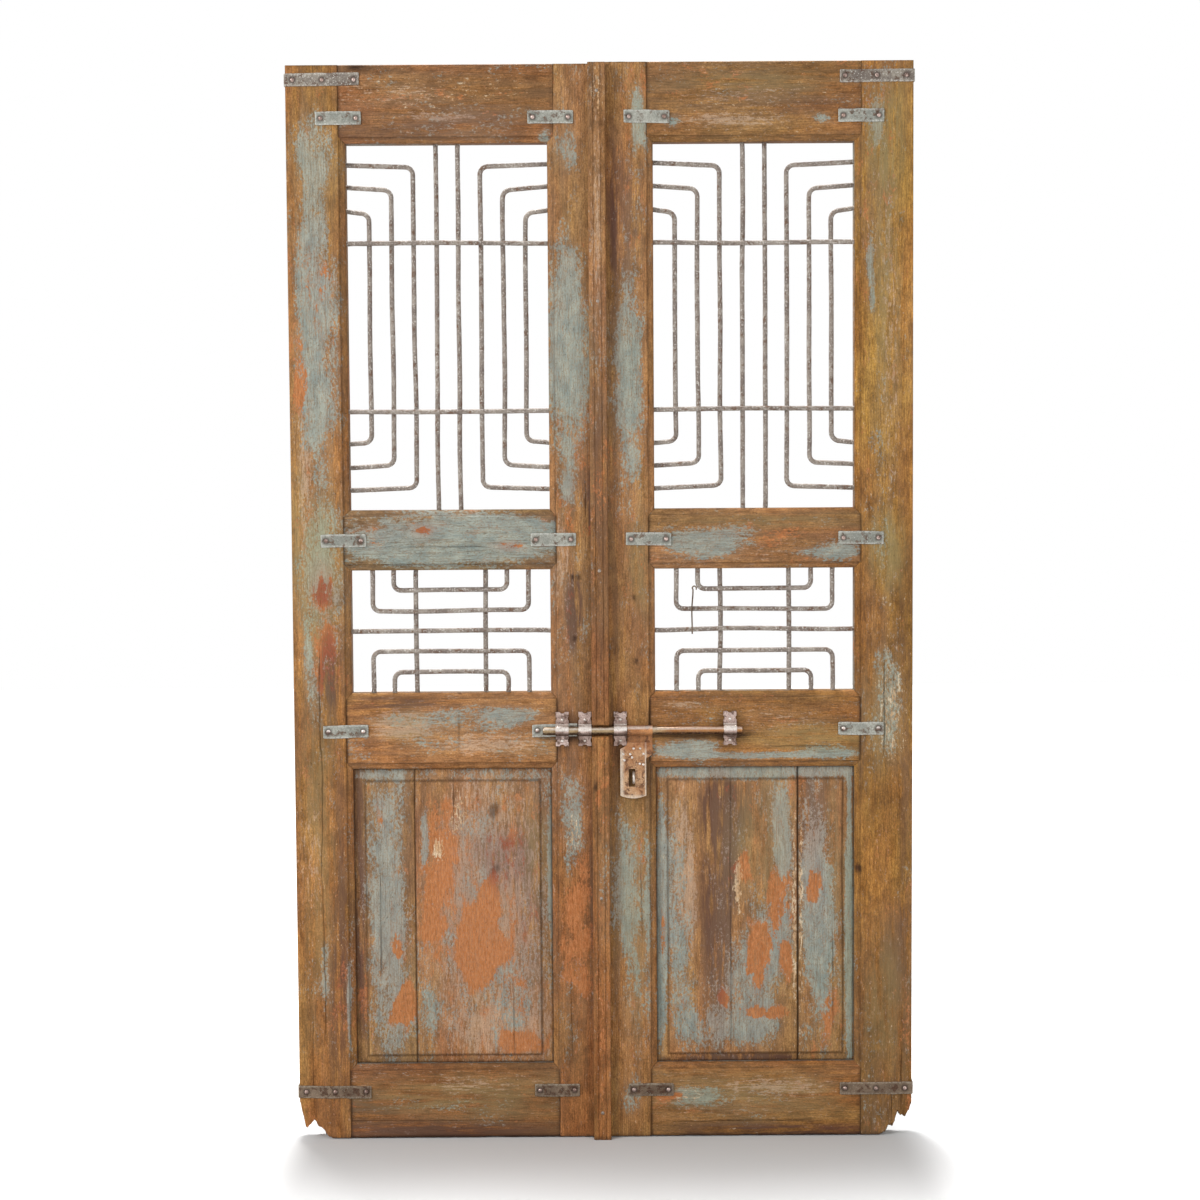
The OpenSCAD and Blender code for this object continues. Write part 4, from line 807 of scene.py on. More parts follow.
# Patches of each layer of weathering on the front of each member, as
# (x, z, half width, half height, amount) with lengths in millimetres. Some dark and violet
# patches are painted shade: round the hardware, along the foot and beside the cover strip.
PATCHES = {
    "left_outer_stile": {
        "blue": [(-548, 1930, 34, 90, 0.75), (-545, 1800, 22, 70, 0.6),
            (-548, 1600, 40, 200, 0.85), (-552, 1420, 36, 70, 0.6), (-556, 1130, 42, 170, 0.64),
            (-574, 940, 12, 80, 0.6), (-504, 265, 4, 95, 1.0), (-560, 860, 14, 60, 0.45),
            (-552, 330, 10, 60, 0.5)],
        "primer": [(-560, 1700, 40, 60, 0.5), (-580, 1480, 18, 70, 0.5),
            (-546, 1085, 26, 40, 0.48), (-540, 960, 20, 86, 0.42)],
        "olive": [(-550, 1900, 50, 130, 0.3), (-556, 1130, 46, 160, 1.2),
            (-560, 620, 30, 380, 0.45)],
        "violet": [(-546, 1085, 34, 46, 0.9), (-536, 950, 24, 110, 0.9),
            (-520, 400, 24, 260, 0.6)],
        "pale": [(-575, 1500, 14, 500, 0.4), (-565, 560, 22, 160, 0.25)],
    },
    "left_meeting_stile": {
        "blue": [(-60, 1560, 40, 225, 0.95), (-66, 1300, 14, 50, 0.5), (-62, 640, 22, 110, 0.7),
            (-64, 1930, 22, 50, 0.5)],
        "primer": [(-50, 380, 34, 160, 0.55)],
        "cream": [(-60, 600, 16, 50, 0.4)],
        # The last three dark patches are rust stain with painted shade round the two keepers and
        # under the bolt
        "dark": [(-56, 1045, 14, 66, 0.2), (-58, 1108, 5, 4, 1.0), (-46, 1108, 5, 4, 1.0),
            (-54, 988, 6, 4, 1.0), (-80, 804, 22, 42, 1.0), (-36, 804, 20, 42, 1.0),
            (-56, 799, 60, 9, 0.9)],
        "violet": [(-44, 1275, 40, 75, 0.4), (-56, 1045, 15, 70, 1.6), (-14, 1280, 12, 120, 1.2),
            (-20, 400, 14, 300, 0.6)],
        "pale": [(-80, 1150, 16, 90, 0.4)],
    },
    "left_top_rail": {
        "blue": [(-330, 2045, 120, 30, 0.08), (-104, 1960, 12, 16, 0.6)],
        "cream": [(-300, 2040, 190, 40, 0.1)],
        "dark": [(-468, 2090, 22, 10, 0.95)],
        "violet": [(-250, 1990, 150, 30, 0.35)],
        "pale": [(-360, 2040, 100, 22, 0.32), (-300, 1996, 80, 10, 0.4)],
    },
    "left_middle_rail": {
        "blue": [(-275, 1180, 200, 56, 1.6)],
        "primer": [(-450, 1175, 22, 24, 0.4), (-345, 1200, 22, 12, 0.6),
            (-180, 1168, 30, 9, 0.5), (-110, 1180, 14, 30, 0.4)],
        "violet": [(-345, 1200, 24, 14, 0.6), (-180, 1168, 32, 10, 0.6)],
    },
    "left_lock_rail": {
        "blue": [(-270, 830, 150, 24, 0.55), (-180, 838, 50, 14, 0.5)],
        "olive": [(-395, 815, 50, 34, 0.6)],
        # The second dark patch is rust stain with painted shade round the bolt's end
        "dark": [(-283, 812, 3, 34, 0.55), (-108, 804, 26, 16, 0.9)],
        "violet": [(-400, 862, 90, 14, 0.6)],
        "pale": [(-395, 815, 60, 30, 0.65), (-220, 780, 110, 20, 0.5)],
    },
    "left_bottom_rail": {
        "olive": [(-300, 85, 220, 45, 0.6)],
        # The dark patch along the foot is painted contact shadow
        "dark": [(-300, 4, 260, 5, 0.4)],
        "violet": [(-300, 16, 260, 18, 0.9), (-480, 60, 50, 30, 0.6)],
        "pale": [(-260, 105, 90, 20, 0.3)],
    },
    "left_panel_narrow_board": {
        "blue": [(-428, 450, 44, 290, 0.62), (-440, 722, 50, 12, 0.5)],
        "primer": [(-393, 262, 28, 42, 1.2), (-408, 380, 12, 40, 0.8), (-440, 650, 20, 40, 0.4)],
        "violet": [(-430, 450, 60, 300, 0.25), (-480, 440, 12, 300, 0.7)],
    },
    "left_panel_wide_board": {
        "blue": [(-240, 430, 130, 290, 0.26), (-352, 590, 8, 60, 0.8), (-190, 280, 60, 120, 0.3),
            (-345, 250, 22, 50, 0.5), (-104, 520, 8, 133, 0.9), (-255, 722, 130, 12, 0.3)],
        "primer": [(-240, 440, 150, 300, 0.17), (-318, 545, 26, 92, 0.78),
            (-248, 376, 40, 76, 1.4), (-225, 470, 18, 60, 0.72), (-163, 188, 46, 24, 0.8),
            (-340, 420, 20, 60, 0.7)],
        "cream": [(-326, 576, 11, 22, 0.85), (-285, 640, 20, 40, 0.35)],
        "olive": [(-130, 570, 30, 100, 0.5)],
        "dark": [(-215, 650, 12, 14, 0.8), (-212, 535, 9, 9, 0.6)],
        "violet": [(-230, 470, 120, 260, 0.3), (-140, 450, 30, 280, 0.4),
            (-210, 560, 50, 60, 0.6)],
        "pale": [(-240, 440, 140, 300, 0.5), (-220, 210, 120, 50, 0.3)],
    },
    "cover_strip": {
        "primer": [(-6, 400, 14, 420, 0.25)],
        "cream": [(-6, 2040, 12, 50, 0.3)],
        "dark": [(-16, 698, 5, 9, 1.0)],
        "violet": [(-6, 1500, 14, 300, 0.3)],
        "pale": [(-6, 1800, 12, 200, 0.4)],
    },
    "right_meeting_stile": {
        "blue": [(76, 1985, 14, 56, 0.9), (50, 1475, 30, 225, 0.85), (50, 500, 34, 160, 0.7),
            (84, 440, 6, 220, 0.6), (50, 80, 26, 40, 0.5)],
        "primer": [(74, 560, 10, 60, 0.5)],
        "olive": [(70, 1985, 18, 62, 0.4), (62, 420, 34, 230, 0.5), (74, 1130, 22, 90, 0.4)],
        # The last two dark patches are rust stain with painted shade round the keeper and below
        # the hasp plate
        "dark": [(61, 1067, 4, 5, 1.0), (65, 943, 4, 5, 1.0), (33, 804, 22, 42, 1.0),
            (60, 742, 36, 76, 0.7)],
        # The narrow violet patches at x 22 and 24 beside the cover strip are purple-brown stain
        # deepened as painted shade from the strip
        "violet": [(24, 1640, 12, 440, 0.3), (44, 1800, 40, 190, 0.55),
            (22, 500, 12, 420, 0.35)],
    },
    "right_top_rail": {
        "blue": [(142, 1984, 16, 12, 0.9), (428, 1989, 22, 9, 0.9)],
        "cream": [(300, 2035, 190, 40, 0.08)],
        "olive": [(300, 2060, 180, 30, 0.4)],
        "violet": [(280, 2040, 180, 44, 0.35)],
        "pale": [(280, 2035, 150, 22, 0.28), (250, 1986, 90, 12, 0.4)],
    },
    "right_outer_stile": {
        "blue": [(535, 1990, 14, 40, 0.7), (521, 1710, 6, 44, 0.9), (526, 1640, 6, 30, 0.7),
            (560, 850, 26, 100, 0.55), (540, 610, 50, 120, -0.4)],
        "cream": [(562, 840, 24, 95, 0.3)],
        "olive": [(545, 1960, 42, 110, 0.9), (552, 1170, 44, 80, 0.9), (550, 850, 40, 120, 0.4),
            (550, 285, 34, 150, 0.55), (550, 1650, 30, 260, 0.6)],
        "dark": [(498, 533, 7, 9, 1.0)],
        "violet": [(590, 600, 12, 400, 0.4), (560, 340, 30, 120, 0.5)],
        "pale": [(560, 1500, 20, 400, 0.25)],
    },
    "right_middle_rail": {
        "blue": [(190, 1170, 90, 30, 0.9), (452, 1155, 56, 18, 0.85)],
        "primer": [(330, 1185, 50, 26, 0.3)],
        "olive": [(330, 1215, 180, 16, 0.5)],
        "pale": [(330, 1170, 150, 30, 0.15)],
    },
    "right_lock_rail": {
        "blue": [(165, 772, 60, 22, 0.9), (300, 757, 190, 8, 0.8), (440, 768, 50, 20, 0.4)],
        "olive": [(400, 790, 110, 26, 0.7)],
        # Both dark patches are rust stain with painted shade round the tail keeper and under the
        # bolt
        "dark": [(247, 804, 24, 42, 1.0), (180, 797, 120, 7, 0.9)],
        "pale": [(380, 830, 90, 20, 0.2), (150, 858, 40, 8, 0.35)],
    },
    "right_bottom_rail": {
        "blue": [(175, 82, 64, 22, 0.65)],
        "primer": [(130, 80, 40, 20, 0.5)],
        "cream": [(162, 82, 60, 20, 0.25)],
        "olive": [(300, 80, 220, 50, 0.6)],
        # The dark patch along the foot is painted contact shadow
        "dark": [(300, 5, 240, 8, 0.4)],
        "violet": [(300, 12, 200, 18, 0.9)],
        "pale": [(350, 100, 100, 20, 0.4)],
    },
    "right_panel_wide_board": {
        "blue": [(146, 350, 30, 150, 0.62), (146, 560, 26, 80, 0.4), (245, 724, 150, 13, 1.1),
            (112, 440, 11, 300, 1.1), (350, 600, 20, 110, 0.9), (345, 400, 34, 80, 0.7),
            (290, 300, 60, 90, 0.55), (250, 220, 110, 40, 0.5)],
        "primer": [(150, 250, 24, 60, 0.45), (272, 528, 16, 32, 0.9), (342, 458, 22, 66, 0.95),
            (302, 350, 30, 72, 0.95), (358, 348, 18, 44, 0.95), (231, 278, 14, 32, 0.85),
            (318, 244, 52, 20, 0.95), (114, 380, 8, 80, 0.7)],
        "cream": [(262, 500, 8, 60, 0.7), (374, 430, 5, 220, 0.5)],
        "olive": [(320, 600, 60, 120, 0.5)],
        "violet": [(222, 480, 36, 255, 1.0), (250, 660, 90, 60, 0.5), (250, 153, 150, 8, 1.0)],
        "pale": [(172, 480, 10, 140, 0.7), (150, 540, 16, 150, 0.6)],
    },
    "right_panel_narrow_board": {
        "blue": [(418, 450, 34, 230, 0.95), (481, 440, 9, 300, 1.1), (430, 724, 60, 13, 1.1)],
        "primer": [(416, 498, 18, 42, 0.95), (440, 250, 18, 50, 0.4)],
        "cream": [(386, 430, 5, 220, 0.45)],
        "olive": [(480, 440, 10, 300, 0.5), (450, 560, 16, 140, 0.5)],
        "violet": [(410, 620, 24, 80, 0.6)],
    },
}
LAYERS = ("blue", "primer", "cream", "olive", "dark", "violet", "pale")
# The foot's dark line, a painted contact shadow, fades between these heights
FOOT_LINE = (1, 9)
# What is left of each layer away from the patches, and by how much it comes and goes, on
# the front and on the back
EVERYWHERE = {"blue": (0.12, 0.16), "primer": (0.10, 0.14), "cream": (0.05, 0.08),
              "olive": (0.06, 0.10), "dark": (0.04, 0.06), "violet": (0.12, 0.2),
              "pale": (0.09, 0.16)}
BEHIND = {"blue": (0.34, 0.5), "primer": (0.18, 0.3), "cream": (0.08, 0.14),
          "olive": (0.12, 0.25), "dark": (0.08, 0.1), "violet": (0.3, 0.3),
          "pale": (0.2, 0.3)}


def bare_wood(name, points):
    """Bare colour, blended from a member's first colour to its second along its length."""
    first, last = BARE[name.removesuffix("_wood")]
    along = points[:, 0 if "rail" in name else 2]
    t = (along - along.min()) / (along.max() - along.min())
    t = (t if "rail" in name else 1 - t)[:, None]
    t = np.clip(t + 0.25 * cloud(along, 0, 240, 1, len(name))[:, None], 0, 1)
    return np.hstack([(1 - t) * linear(*first) + t * linear(*last), np.ones_like(t)])


def layer_amounts(name, points, front):
    """The amount of every layer at every point: what is left everywhere plus each patch,
    which falls off as exp(-q^3) with q the distance from its middle in half sizes."""
    x, z = points[:, 0], points[:, 2]
    size = np.array((260, 60) if "rail" in name else (60, 260))
    amounts = {}
    for i, layer in enumerate(LAYERS):
        near, far = EVERYWHERE[layer], BEHIND[layer]
        here = near[0] + near[1] * cloud(x, z, *size, 900 + 13 * i)
        there = far[0] + far[1] * cloud(x, z, *(2 * size), 905 + 13 * i)
        amounts[layer] = np.where(front, here, there)
    # A painted contact shadow along the foot
    amounts["dark"] += 0.85 * (1 - smooth(z, *FOOT_LINE))
    for layer, patches in PATCHES[name.removesuffix("_wood")].items():
        for px, pz, half_w, half_h, amount in patches:
            ragged = 1 + 0.25 * cloud(x, z, half_w * 0.8, half_h * 0.8, int(abs(px) + pz))
            q = np.sqrt(((x - px) / half_w) ** 2 + ((z - pz) / half_h) ** 2) / ragged
            amounts[layer] += front * amount * np.exp(-q ** 3)
    return amounts


def finish_wood(piece, points, front, dirt_and_shade):
    """Stores a wood piece's bare colour, its coats and its marks at every point."""
    amounts = layer_amounts(piece.name, points, front)
    amounts["dirt_and_shade"] = dirt_and_shade
    paint_attribute(piece, "bare", bare_wood(piece.name, points))
    for name, layers in (("coats", ("blue", "primer", "cream", "olive")),
                         ("marks", ("dark", "violet", "pale", "dirt_and_shade"))):
        paint_attribute(piece, name,
                        np.clip(np.stack([amounts[layer] for layer in layers], 1), 0, 1))


# ------------------------------------------------------------------ materials

class Finish:
    """The nodes of a material or a world, and short ways to add to them."""

    def __init__(self, owner, surface="Principled BSDF"):
        owner.use_nodes = True
        self.owner, self.tree = owner, owner.node_tree
        self.surface = self.tree.nodes[surface]

    def fill(self, socket, value):
        if isinstance(value, bpy.types.NodeSocket):
            self.tree.links.new(value, socket)
        else:
            socket.default_value = value

    def node(self, kind, inputs, **settings):
        made = self.tree.nodes.new("ShaderNode" + kind)
        for key, value in settings.items():
            setattr(made, key, value)
        for socket, value in inputs.items():
            self.fill(made.inputs[socket], value)
        return made

    def set(self, **inputs):
        for socket, value in inputs.items():
            self.fill(self.surface.inputs[socket.replace("_", " ")], value)

    def calc(self, operation, a, b=0.0, clamp=False):
        return self.node("Math", {0: a, 1: b}, operation=operation, use_clamp=clamp).outputs[0]

    def times(self, a, b, clamp=False):
        return self.calc("MULTIPLY", a, b, clamp)

    def plus(self, a, b, clamp=False):
        return self.calc("ADD", a, b, clamp)

    def noise(self, at, scale, location=(0, 0, 0), detail=5.0, roughness=0.6, distortion=0.0):
        """Noise on coordinates that are scaled and moved first."""
        at = self.node("Mapping", {"Vector": at, "Scale": scale, "Location": location})
        return self.node("TexNoise", {
            "Vector": at.outputs[0], "Scale": 1.0, "Detail": detail, "Roughness": roughness,
            "Distortion": distortion}).outputs[0]

    def step(self, value, lo, hi, to_lo=0.0, to_hi=1.0):
        return self.node("MapRange", {0: value, 1: lo, 2: hi, 3: to_lo, 4: to_hi},
                         interpolation_type="SMOOTHSTEP").outputs[0]

    def mix(self, factor, a, b, blend="MIX"):
        a, b = (v if isinstance(v, bpy.types.NodeSocket) else (*v, 1) for v in (a, b))
        return self.node("Mix", {0: factor, 6: a, 7: b}, data_type="RGBA",
                         blend_type=blend).outputs[2]

    def attribute(self, name):
        return self.node("Attribute", {}, attribute_name=name).outputs

    def split(self, colour):
        return self.node("SeparateColor", {0: colour}).outputs

    def bump(self, height, distance, strength, **under):
        return self.node("Bump", {"Height": height, "Distance": distance,
                                  "Strength": strength, **under}).outputs[0]


def weathered_wood():
    """Teak along the grain coordinates, under thin worn coats. Each coat shows where its
    amount plus a streaked noise passes one, so its edges break up along the grain."""
    f = Finish(bpy.data.materials.new("weathered_wood"))
    grain, bare = f.attribute("grain")["Vector"], f.attribute("bare")["Color"]
    coat, mark = f.attribute("coats"), f.attribute("marks")
    blue, primer, cream = f.split(coat["Color"])
    dark, violet, pale = f.split(mark["Color"])
    olive, dirt_and_shade = coat["Alpha"], mark["Alpha"]

    hue = f.noise(grain, (6, 16, 16), (4, 4, 8), 5, 0.6, 0.3)
    drift = f.noise(grain, (3, 12, 12), (6, 2, 5), 3, 0.5)
    figure = f.noise(grain, (1.6, 42, 42), (0, 0, 0), 6, 0.62, 0.25)
    fibre = f.noise(grain, (22, 480, 480), (3, 1, 7), 5, 0.7)
    mottle = f.noise(grain, (26, 52, 52), (5, 9, 2), 8, 0.7, 0.3)
    grit = f.noise(grain, (260, 420, 420), (2, 2, 5), 4, 0.65)
    pores = f.noise(grain, (38, 900, 900), (1, 4, 4), 2, 0.5)
    streak = f.noise(grain, (8, 80, 80), (2, 6, 1), 7, 0.68)

    colour = bare
    for noise, lo, hi, darker, lighter in (
            (hue, 0.36, 0.64, (0.81, 0.715, 0.60), (1.02, 0.97, 0.83)),
            (drift, 0.40, 0.60, (1.04, 0.955, 0.88), (0.97, 1.02, 0.89)),
            (figure, 0.34, 0.66, (0.88, 0.85, 0.82), (1.10, 1.10, 1.08)),
            (mottle, 0.36, 0.62, (0.68, 0.63, 0.56), (1.16, 1.15, 1.10)),
            (fibre, 0.32, 0.68, (0.74, 0.71, 0.67), (1.22, 1.22, 1.22)),
            (grit, 0.34, 0.66, (0.71, 0.69, 0.66), (1.23, 1.23, 1.23))):
        colour = f.mix(1.0, colour, f.mix(f.step(noise, lo, hi), darker, lighter), "MULTIPLY")
    colour = f.mix(f.step(pores, 0.58, 0.70, 0.0, 0.5), colour, linear(84, 54, 33))

    # Faded stains soak in and keep the grain
    soft_streak = f.step(streak, 0.34, 0.60, 0.25, 1.0)
    broken_streak = f.step(streak, 0.36, 0.56, 0.05, 1.0)
    for amount, streaks, share, tone in ((violet, broken_streak, 1.3, (92, 58, 46)),
                                         (pale, soft_streak, 0.3, (206, 172, 136)),
                                         (olive, soft_streak, 0.7, (150, 136, 88)),
                                         (blue, soft_streak, 0.5, (156, 138, 116))):
        share = f.times(f.times(amount, streaks), share, clamp=True)
        colour = f.mix(share, colour, linear(*tone))

    # Coats: large patches of noise with speckled, eroded edges. Primer shows in its own
    # patches and as a rim round what is left of the blue coat.
    flake = f.noise(grain, (13, 32, 32), (8, 2, 3), 9, 0.66)
    flake_b = f.noise(grain, (18, 38, 38), (1, 8, 6), 9, 0.66)
    flake_c = f.noise(grain, (90, 220, 220), (4, 3, 9), 6, 0.7)
    wisps = f.noise(grain, (36, 200, 200), (5, 5, 1), 7, 0.68)
    speckle = f.step(f.noise(grain, (150, 230, 230), (7, 5, 1), 4, 0.7), 0.32, 0.68)
    eroded = f.times(f.step(grit, 0.36, 0.50, 0.45, 1.0), f.step(fibre, 0.34, 0.50, 0.45, 1.0))

    def coverage(amount, noise, edge, speckled=0.3):
        patchy = f.times(f.step(noise, 0.3, 0.7), 1 - speckled)
        total = f.plus(f.plus(f.times(speckle, speckled), patchy), amount)
        return f.times(f.step(total, 1.0 - edge, 1.0 + edge), eroded)

    pale_on = coverage(pale, wisps, 0.14, 0.35)
    colour = f.mix(f.times(pale_on, 0.52), colour,
                   f.mix(violet, linear(206, 178, 152), linear(168, 142, 132)))
    primer_on = coverage(f.plus(primer, f.times(blue, 0.12)), flake_b, 0.12)
    primer_tone = f.mix(f.step(flake_c, 0.35, 0.65), linear(174, 106, 60), linear(196, 130, 82))
    primer_tone = f.mix(f.step(violet, 0.4, 0.9), primer_tone, linear(150, 84, 60))
    colour = f.mix(primer_on, colour, primer_tone)
    primer_only = f.plus(primer, f.times(f.step(flake_b, 0.3, 0.7), 0.7))
    blue_left = f.calc("SUBTRACT", f.times(blue, 0.9), f.step(primer_only, 0.9, 1.25))
    blue_on = coverage(blue_left, flake, 0.16, 0.52)
    blue_tone = f.mix(f.step(mottle, 0.28, 0.72), linear(128, 142, 138), linear(168, 173, 160))
    blue_tone = f.mix(f.times(olive, 0.6), blue_tone, linear(164, 160, 122))
    blue_tone = f.mix(f.times(violet, 0.8, clamp=True), blue_tone, linear(168, 142, 126))
    colour = f.mix(blue_on, colour, blue_tone)
    cream_on = coverage(cream, flake_c, 0.08, 0.2)
    cream_tone = f.mix(f.step(mottle, 0.4, 0.6), linear(206, 164, 120), linear(228, 208, 176))
    colour = f.mix(f.times(cream_on, 0.9), colour, cream_tone)

    # Dirt: specks, cracks and joints, and dark stains. The dark layer and the dirt also carry
    # painted shade: in quirks and creases, round the hardware and along the foot
    specks = f.step(f.noise(grain, (120, 200, 200), (9, 5, 5), 3, 0.6), 0.64, 0.72, 0.0, 0.6)
    colour = f.mix(specks, colour, linear(74, 48, 32))
    deep = f.plus(f.times(dark, f.step(streak, 0.3, 0.6, 0.6, 1.0)), dirt_and_shade, clamp=True)
    colour = f.mix(f.times(deep, 0.9), colour, linear(44, 29, 21))

    height = f.plus(f.plus(f.times(figure, 0.9), f.times(fibre, 0.7)), f.times(grit, 0.35))
    height = f.calc("SUBTRACT", height, f.times(f.step(pores, 0.58, 0.72), 0.3))
    coat_height = f.plus(blue_on, f.times(f.plus(primer_on, cream_on), 0.6))
    rough_grain = f.bump(height, 0.0014, 1.0)
    f.set(Base_Color=colour, Specular_IOR_Level=0.16,
          Normal=f.bump(coat_height, 0.0004, 0.8, Normal=rough_grain),
          Roughness=f.plus(f.step(fibre, 0.3, 0.7, 0.84, 0.66), f.times(blue_on, -0.14)))
    return f.owner


def iron(name, base, other, speck, rust, amounts, metallic, gloss, pits, bands=()):
    """Old iron on Object coordinates. base and other are mixed by a slow noise; rust comes
    in blotches and speck in small flakes, by amounts = (rust, speck). pits is the depth of
    its pitting in metres. Each band is (axis, four coordinates, colour, share): the colour
    comes in between the first two coordinates and goes out between the last two. Bands
    lay rust, and also painted shade on undersides and painted highlights along tops and rims."""
    f = Finish(bpy.data.materials.new(name))
    at = f.node("TexCoord", {}).outputs["Object"]
    slow = f.noise(at, (26, 26, 26), (0, 0, 0), 5, 0.62)
    blotch = f.noise(at, (75, 75, 75), (3, 1, 4), 6, 0.66, 0.4)
    fine = f.noise(at, (420, 420, 420), (1, 7, 2), 4, 0.6)
    chips = f.noise(at, (300, 300, 300), (6, 2, 8), 5, 0.7)
    rust = np.array(rust)
    colour = f.mix(f.step(slow, 0.36, 0.64), linear(*base), linear(*other))
    colour = f.mix(1.0, colour, f.mix(f.step(fine, 0.3, 0.7), (0.78, 0.77, 0.76),
                                      (1.2, 1.2, 1.2)), "MULTIPLY")
    rusty = f.step(blotch, 0.78 - 0.5 * amounts[0], 0.86 - 0.5 * amounts[0])
    flaked = f.step(chips, 0.74 - 0.36 * amounts[1], 0.78 - 0.36 * amounts[1])
    rust_tone = f.mix(f.step(chips, 0.4, 0.6), linear(*rust), linear(*(0.72 * rust)))
    # The wear attribute gives dirt round the nails and rubbed rims; the pale rubbed rims are also
    # a painted highlight along a strap's edges
    dirt, rubbed_and_highlit, _ = f.split(f.attribute("wear")["Color"])
    for factor, tone in (
            (f.times(rusty, f.step(fine, 0.3, 0.6, 0.55, 0.95)), rust_tone),
            (f.times(flaked, 0.9), linear(*speck)),
            (f.times(rubbed_and_highlit, f.step(chips, 0.42, 0.56, 0.1, 0.8)), linear(*speck)),
            (f.times(dirt, f.step(fine, 0.3, 0.6, 0.6, 0.9)), linear(*(0.6 * rust)))):
        colour = f.mix(factor, colour, tone)
    for axis, (in_from, in_to, out_from, out_to), tone, share in bands:
        along = f.node("SeparateXYZ", {0: at}).outputs[axis]
        amount = f.times(f.step(along, in_from, in_to, 0.0, share),
                         f.step(along, out_from, out_to, 1.0, 0.0))
        amount = f.times(amount, f.step(chips, 0.36, 0.56, 0.5, 1.0))
        colour = f.mix(amount, colour, linear(*tone))
    bright = f.times(f.calc("SUBTRACT", 1.0, rusty), metallic) if metallic else 0.0
    height = f.plus(f.plus(blotch, f.times(fine, 0.5)), f.times(flaked, 0.25))
    f.set(Base_Color=colour, Metallic=bright, Specular_IOR_Level=0.4,
          Roughness=f.plus(f.step(fine, 0.3, 0.7, gloss - 0.06, gloss + 0.08),
                           f.times(rusty, 0.2), clamp=True),
          Normal=f.bump(height, pits, 0.9))
    return f.owner


wood = weathered_wood()
grille_iron = iron("grille_iron", (114, 102, 94), (150, 140, 130), (208, 202, 194),
                   (112, 82, 62), (0.50, 0.52), 0.0, 0.66, 0.0009)
strap_iron = iron("painted_strap_iron", (126, 128, 120), (158, 158, 148), (200, 200, 192),
                  (104, 78, 60), (0.50, 0.34), 0.0, 0.6, 0.0008)
wrap_iron = iron("rusted_strap_iron", (104, 94, 86), (146, 138, 126), (196, 190, 180),
                 (92, 64, 48), (0.50, 0.50), 0.0, 0.66, 0.0011)
foot_iron = iron("rusted_foot_iron", (92, 74, 58), (122, 104, 86), (160, 148, 130),
                 (84, 56, 40), (0.56, 0.34), 0.0, 0.7, 0.0011)
# Painted light for the round hardware: the first colour here is painted shade for lower sides, the
# second a painted highlight along tops, the third a painted highlight along the hasp plate's rims
UNDERSIDE_SHADE, PAINTED_HIGHLIGHT, RIM_HIGHLIGHT = (48, 30, 20), (236, 228, 220), (206, 196, 180)
BELOW, ABOVE = (-9.0, -8.0), (8.0, 9.0)
# Keepers: painted shade under the arch and a painted highlight over it
keeper_iron = iron("keeper_iron", (176, 156, 148), (128, 106, 96), (226, 218, 212),
                   (92, 60, 42), (0.52, 0.28), 0.75, 0.32, 0.0006,
                   [(2, (0.7960, 0.7985, 0.8030, 0.8085), UNDERSIDE_SHADE, 0.75),
                    (2, (0.8070, 0.8110, 0.8190, 0.8215), PAINTED_HIGHLIGHT, 0.85)])
# Bolt: rust toward its tail, a painted highlight along its top and painted shade below its axis
bolt_iron = iron("bolt_iron", (172, 150, 116), (126, 100, 68), (214, 202, 182),
                 (104, 66, 36), (0.48, 0.30), 0.8, 0.34, 0.0006,
                 [(0, (0.08, 0.15, *ABOVE), (160, 100, 48), 0.8),
                  (2, (0.8095, 0.8120, 0.8140, 0.8162), PAINTED_HIGHLIGHT, 0.45),
                  (2, (*BELOW, 0.8040, 0.8100), UNDERSIDE_SHADE, 0.95)])
# Hasp: painted shade under its barrel and a painted highlight along it
hasp_iron = iron("rusted_hasp_iron", (192, 132, 80), (150, 98, 56), (214, 180, 146),
                 (116, 68, 36), (0.50, 0.30), 0.3, 0.46, 0.0008,
                 [(2, (*BELOW, 0.8030, 0.8110), UNDERSIDE_SHADE, 0.4),
                  (2, (0.8105, 0.8140, 0.8160, 0.8190), PAINTED_HIGHLIGHT, 0.5)])
# Hasp plate: a painted highlight along its left, bottom and right rims, and rust near its top
plate_iron = iron("hasp_plate_iron", (146, 100, 62), (178, 140, 104), (214, 200, 180),
                  (104, 62, 34), (0.56, 0.36), 0.35, 0.42, 0.0007,
                  [(0, (*BELOW, 0.0340, 0.0425), RIM_HIGHLIGHT, 0.7),
                   (2, (*BELOW, 0.6770, 0.6840), RIM_HIGHLIGHT, 0.6),
                   (0, (0.0795, 0.0815, 0.0835, 0.0840), RIM_HIGHLIGHT, 0.6),
                   (2, (0.7600, 0.7780, *ABOVE), (150, 90, 46), 0.6)])
nail_iron = iron("nail_iron", (124, 112, 102), (150, 138, 126), (190, 182, 172),
                 (116, 84, 62), (0.36, 0.30), 0.3, 0.5, 0.0004)
staple_iron = iron("staple_iron", (206, 200, 194), (184, 174, 164), (228, 224, 220),
                   (150, 118, 92), (0.22, 0.15), 0.7, 0.34, 0.0003)


def finish_piece(piece, body, slot, material, *nodes):
    piece.data.materials.clear()
    piece.data.materials.append(material)
    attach(piece, body)
    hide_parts(*nodes)


# ------------------------------------------------------------------ the wood

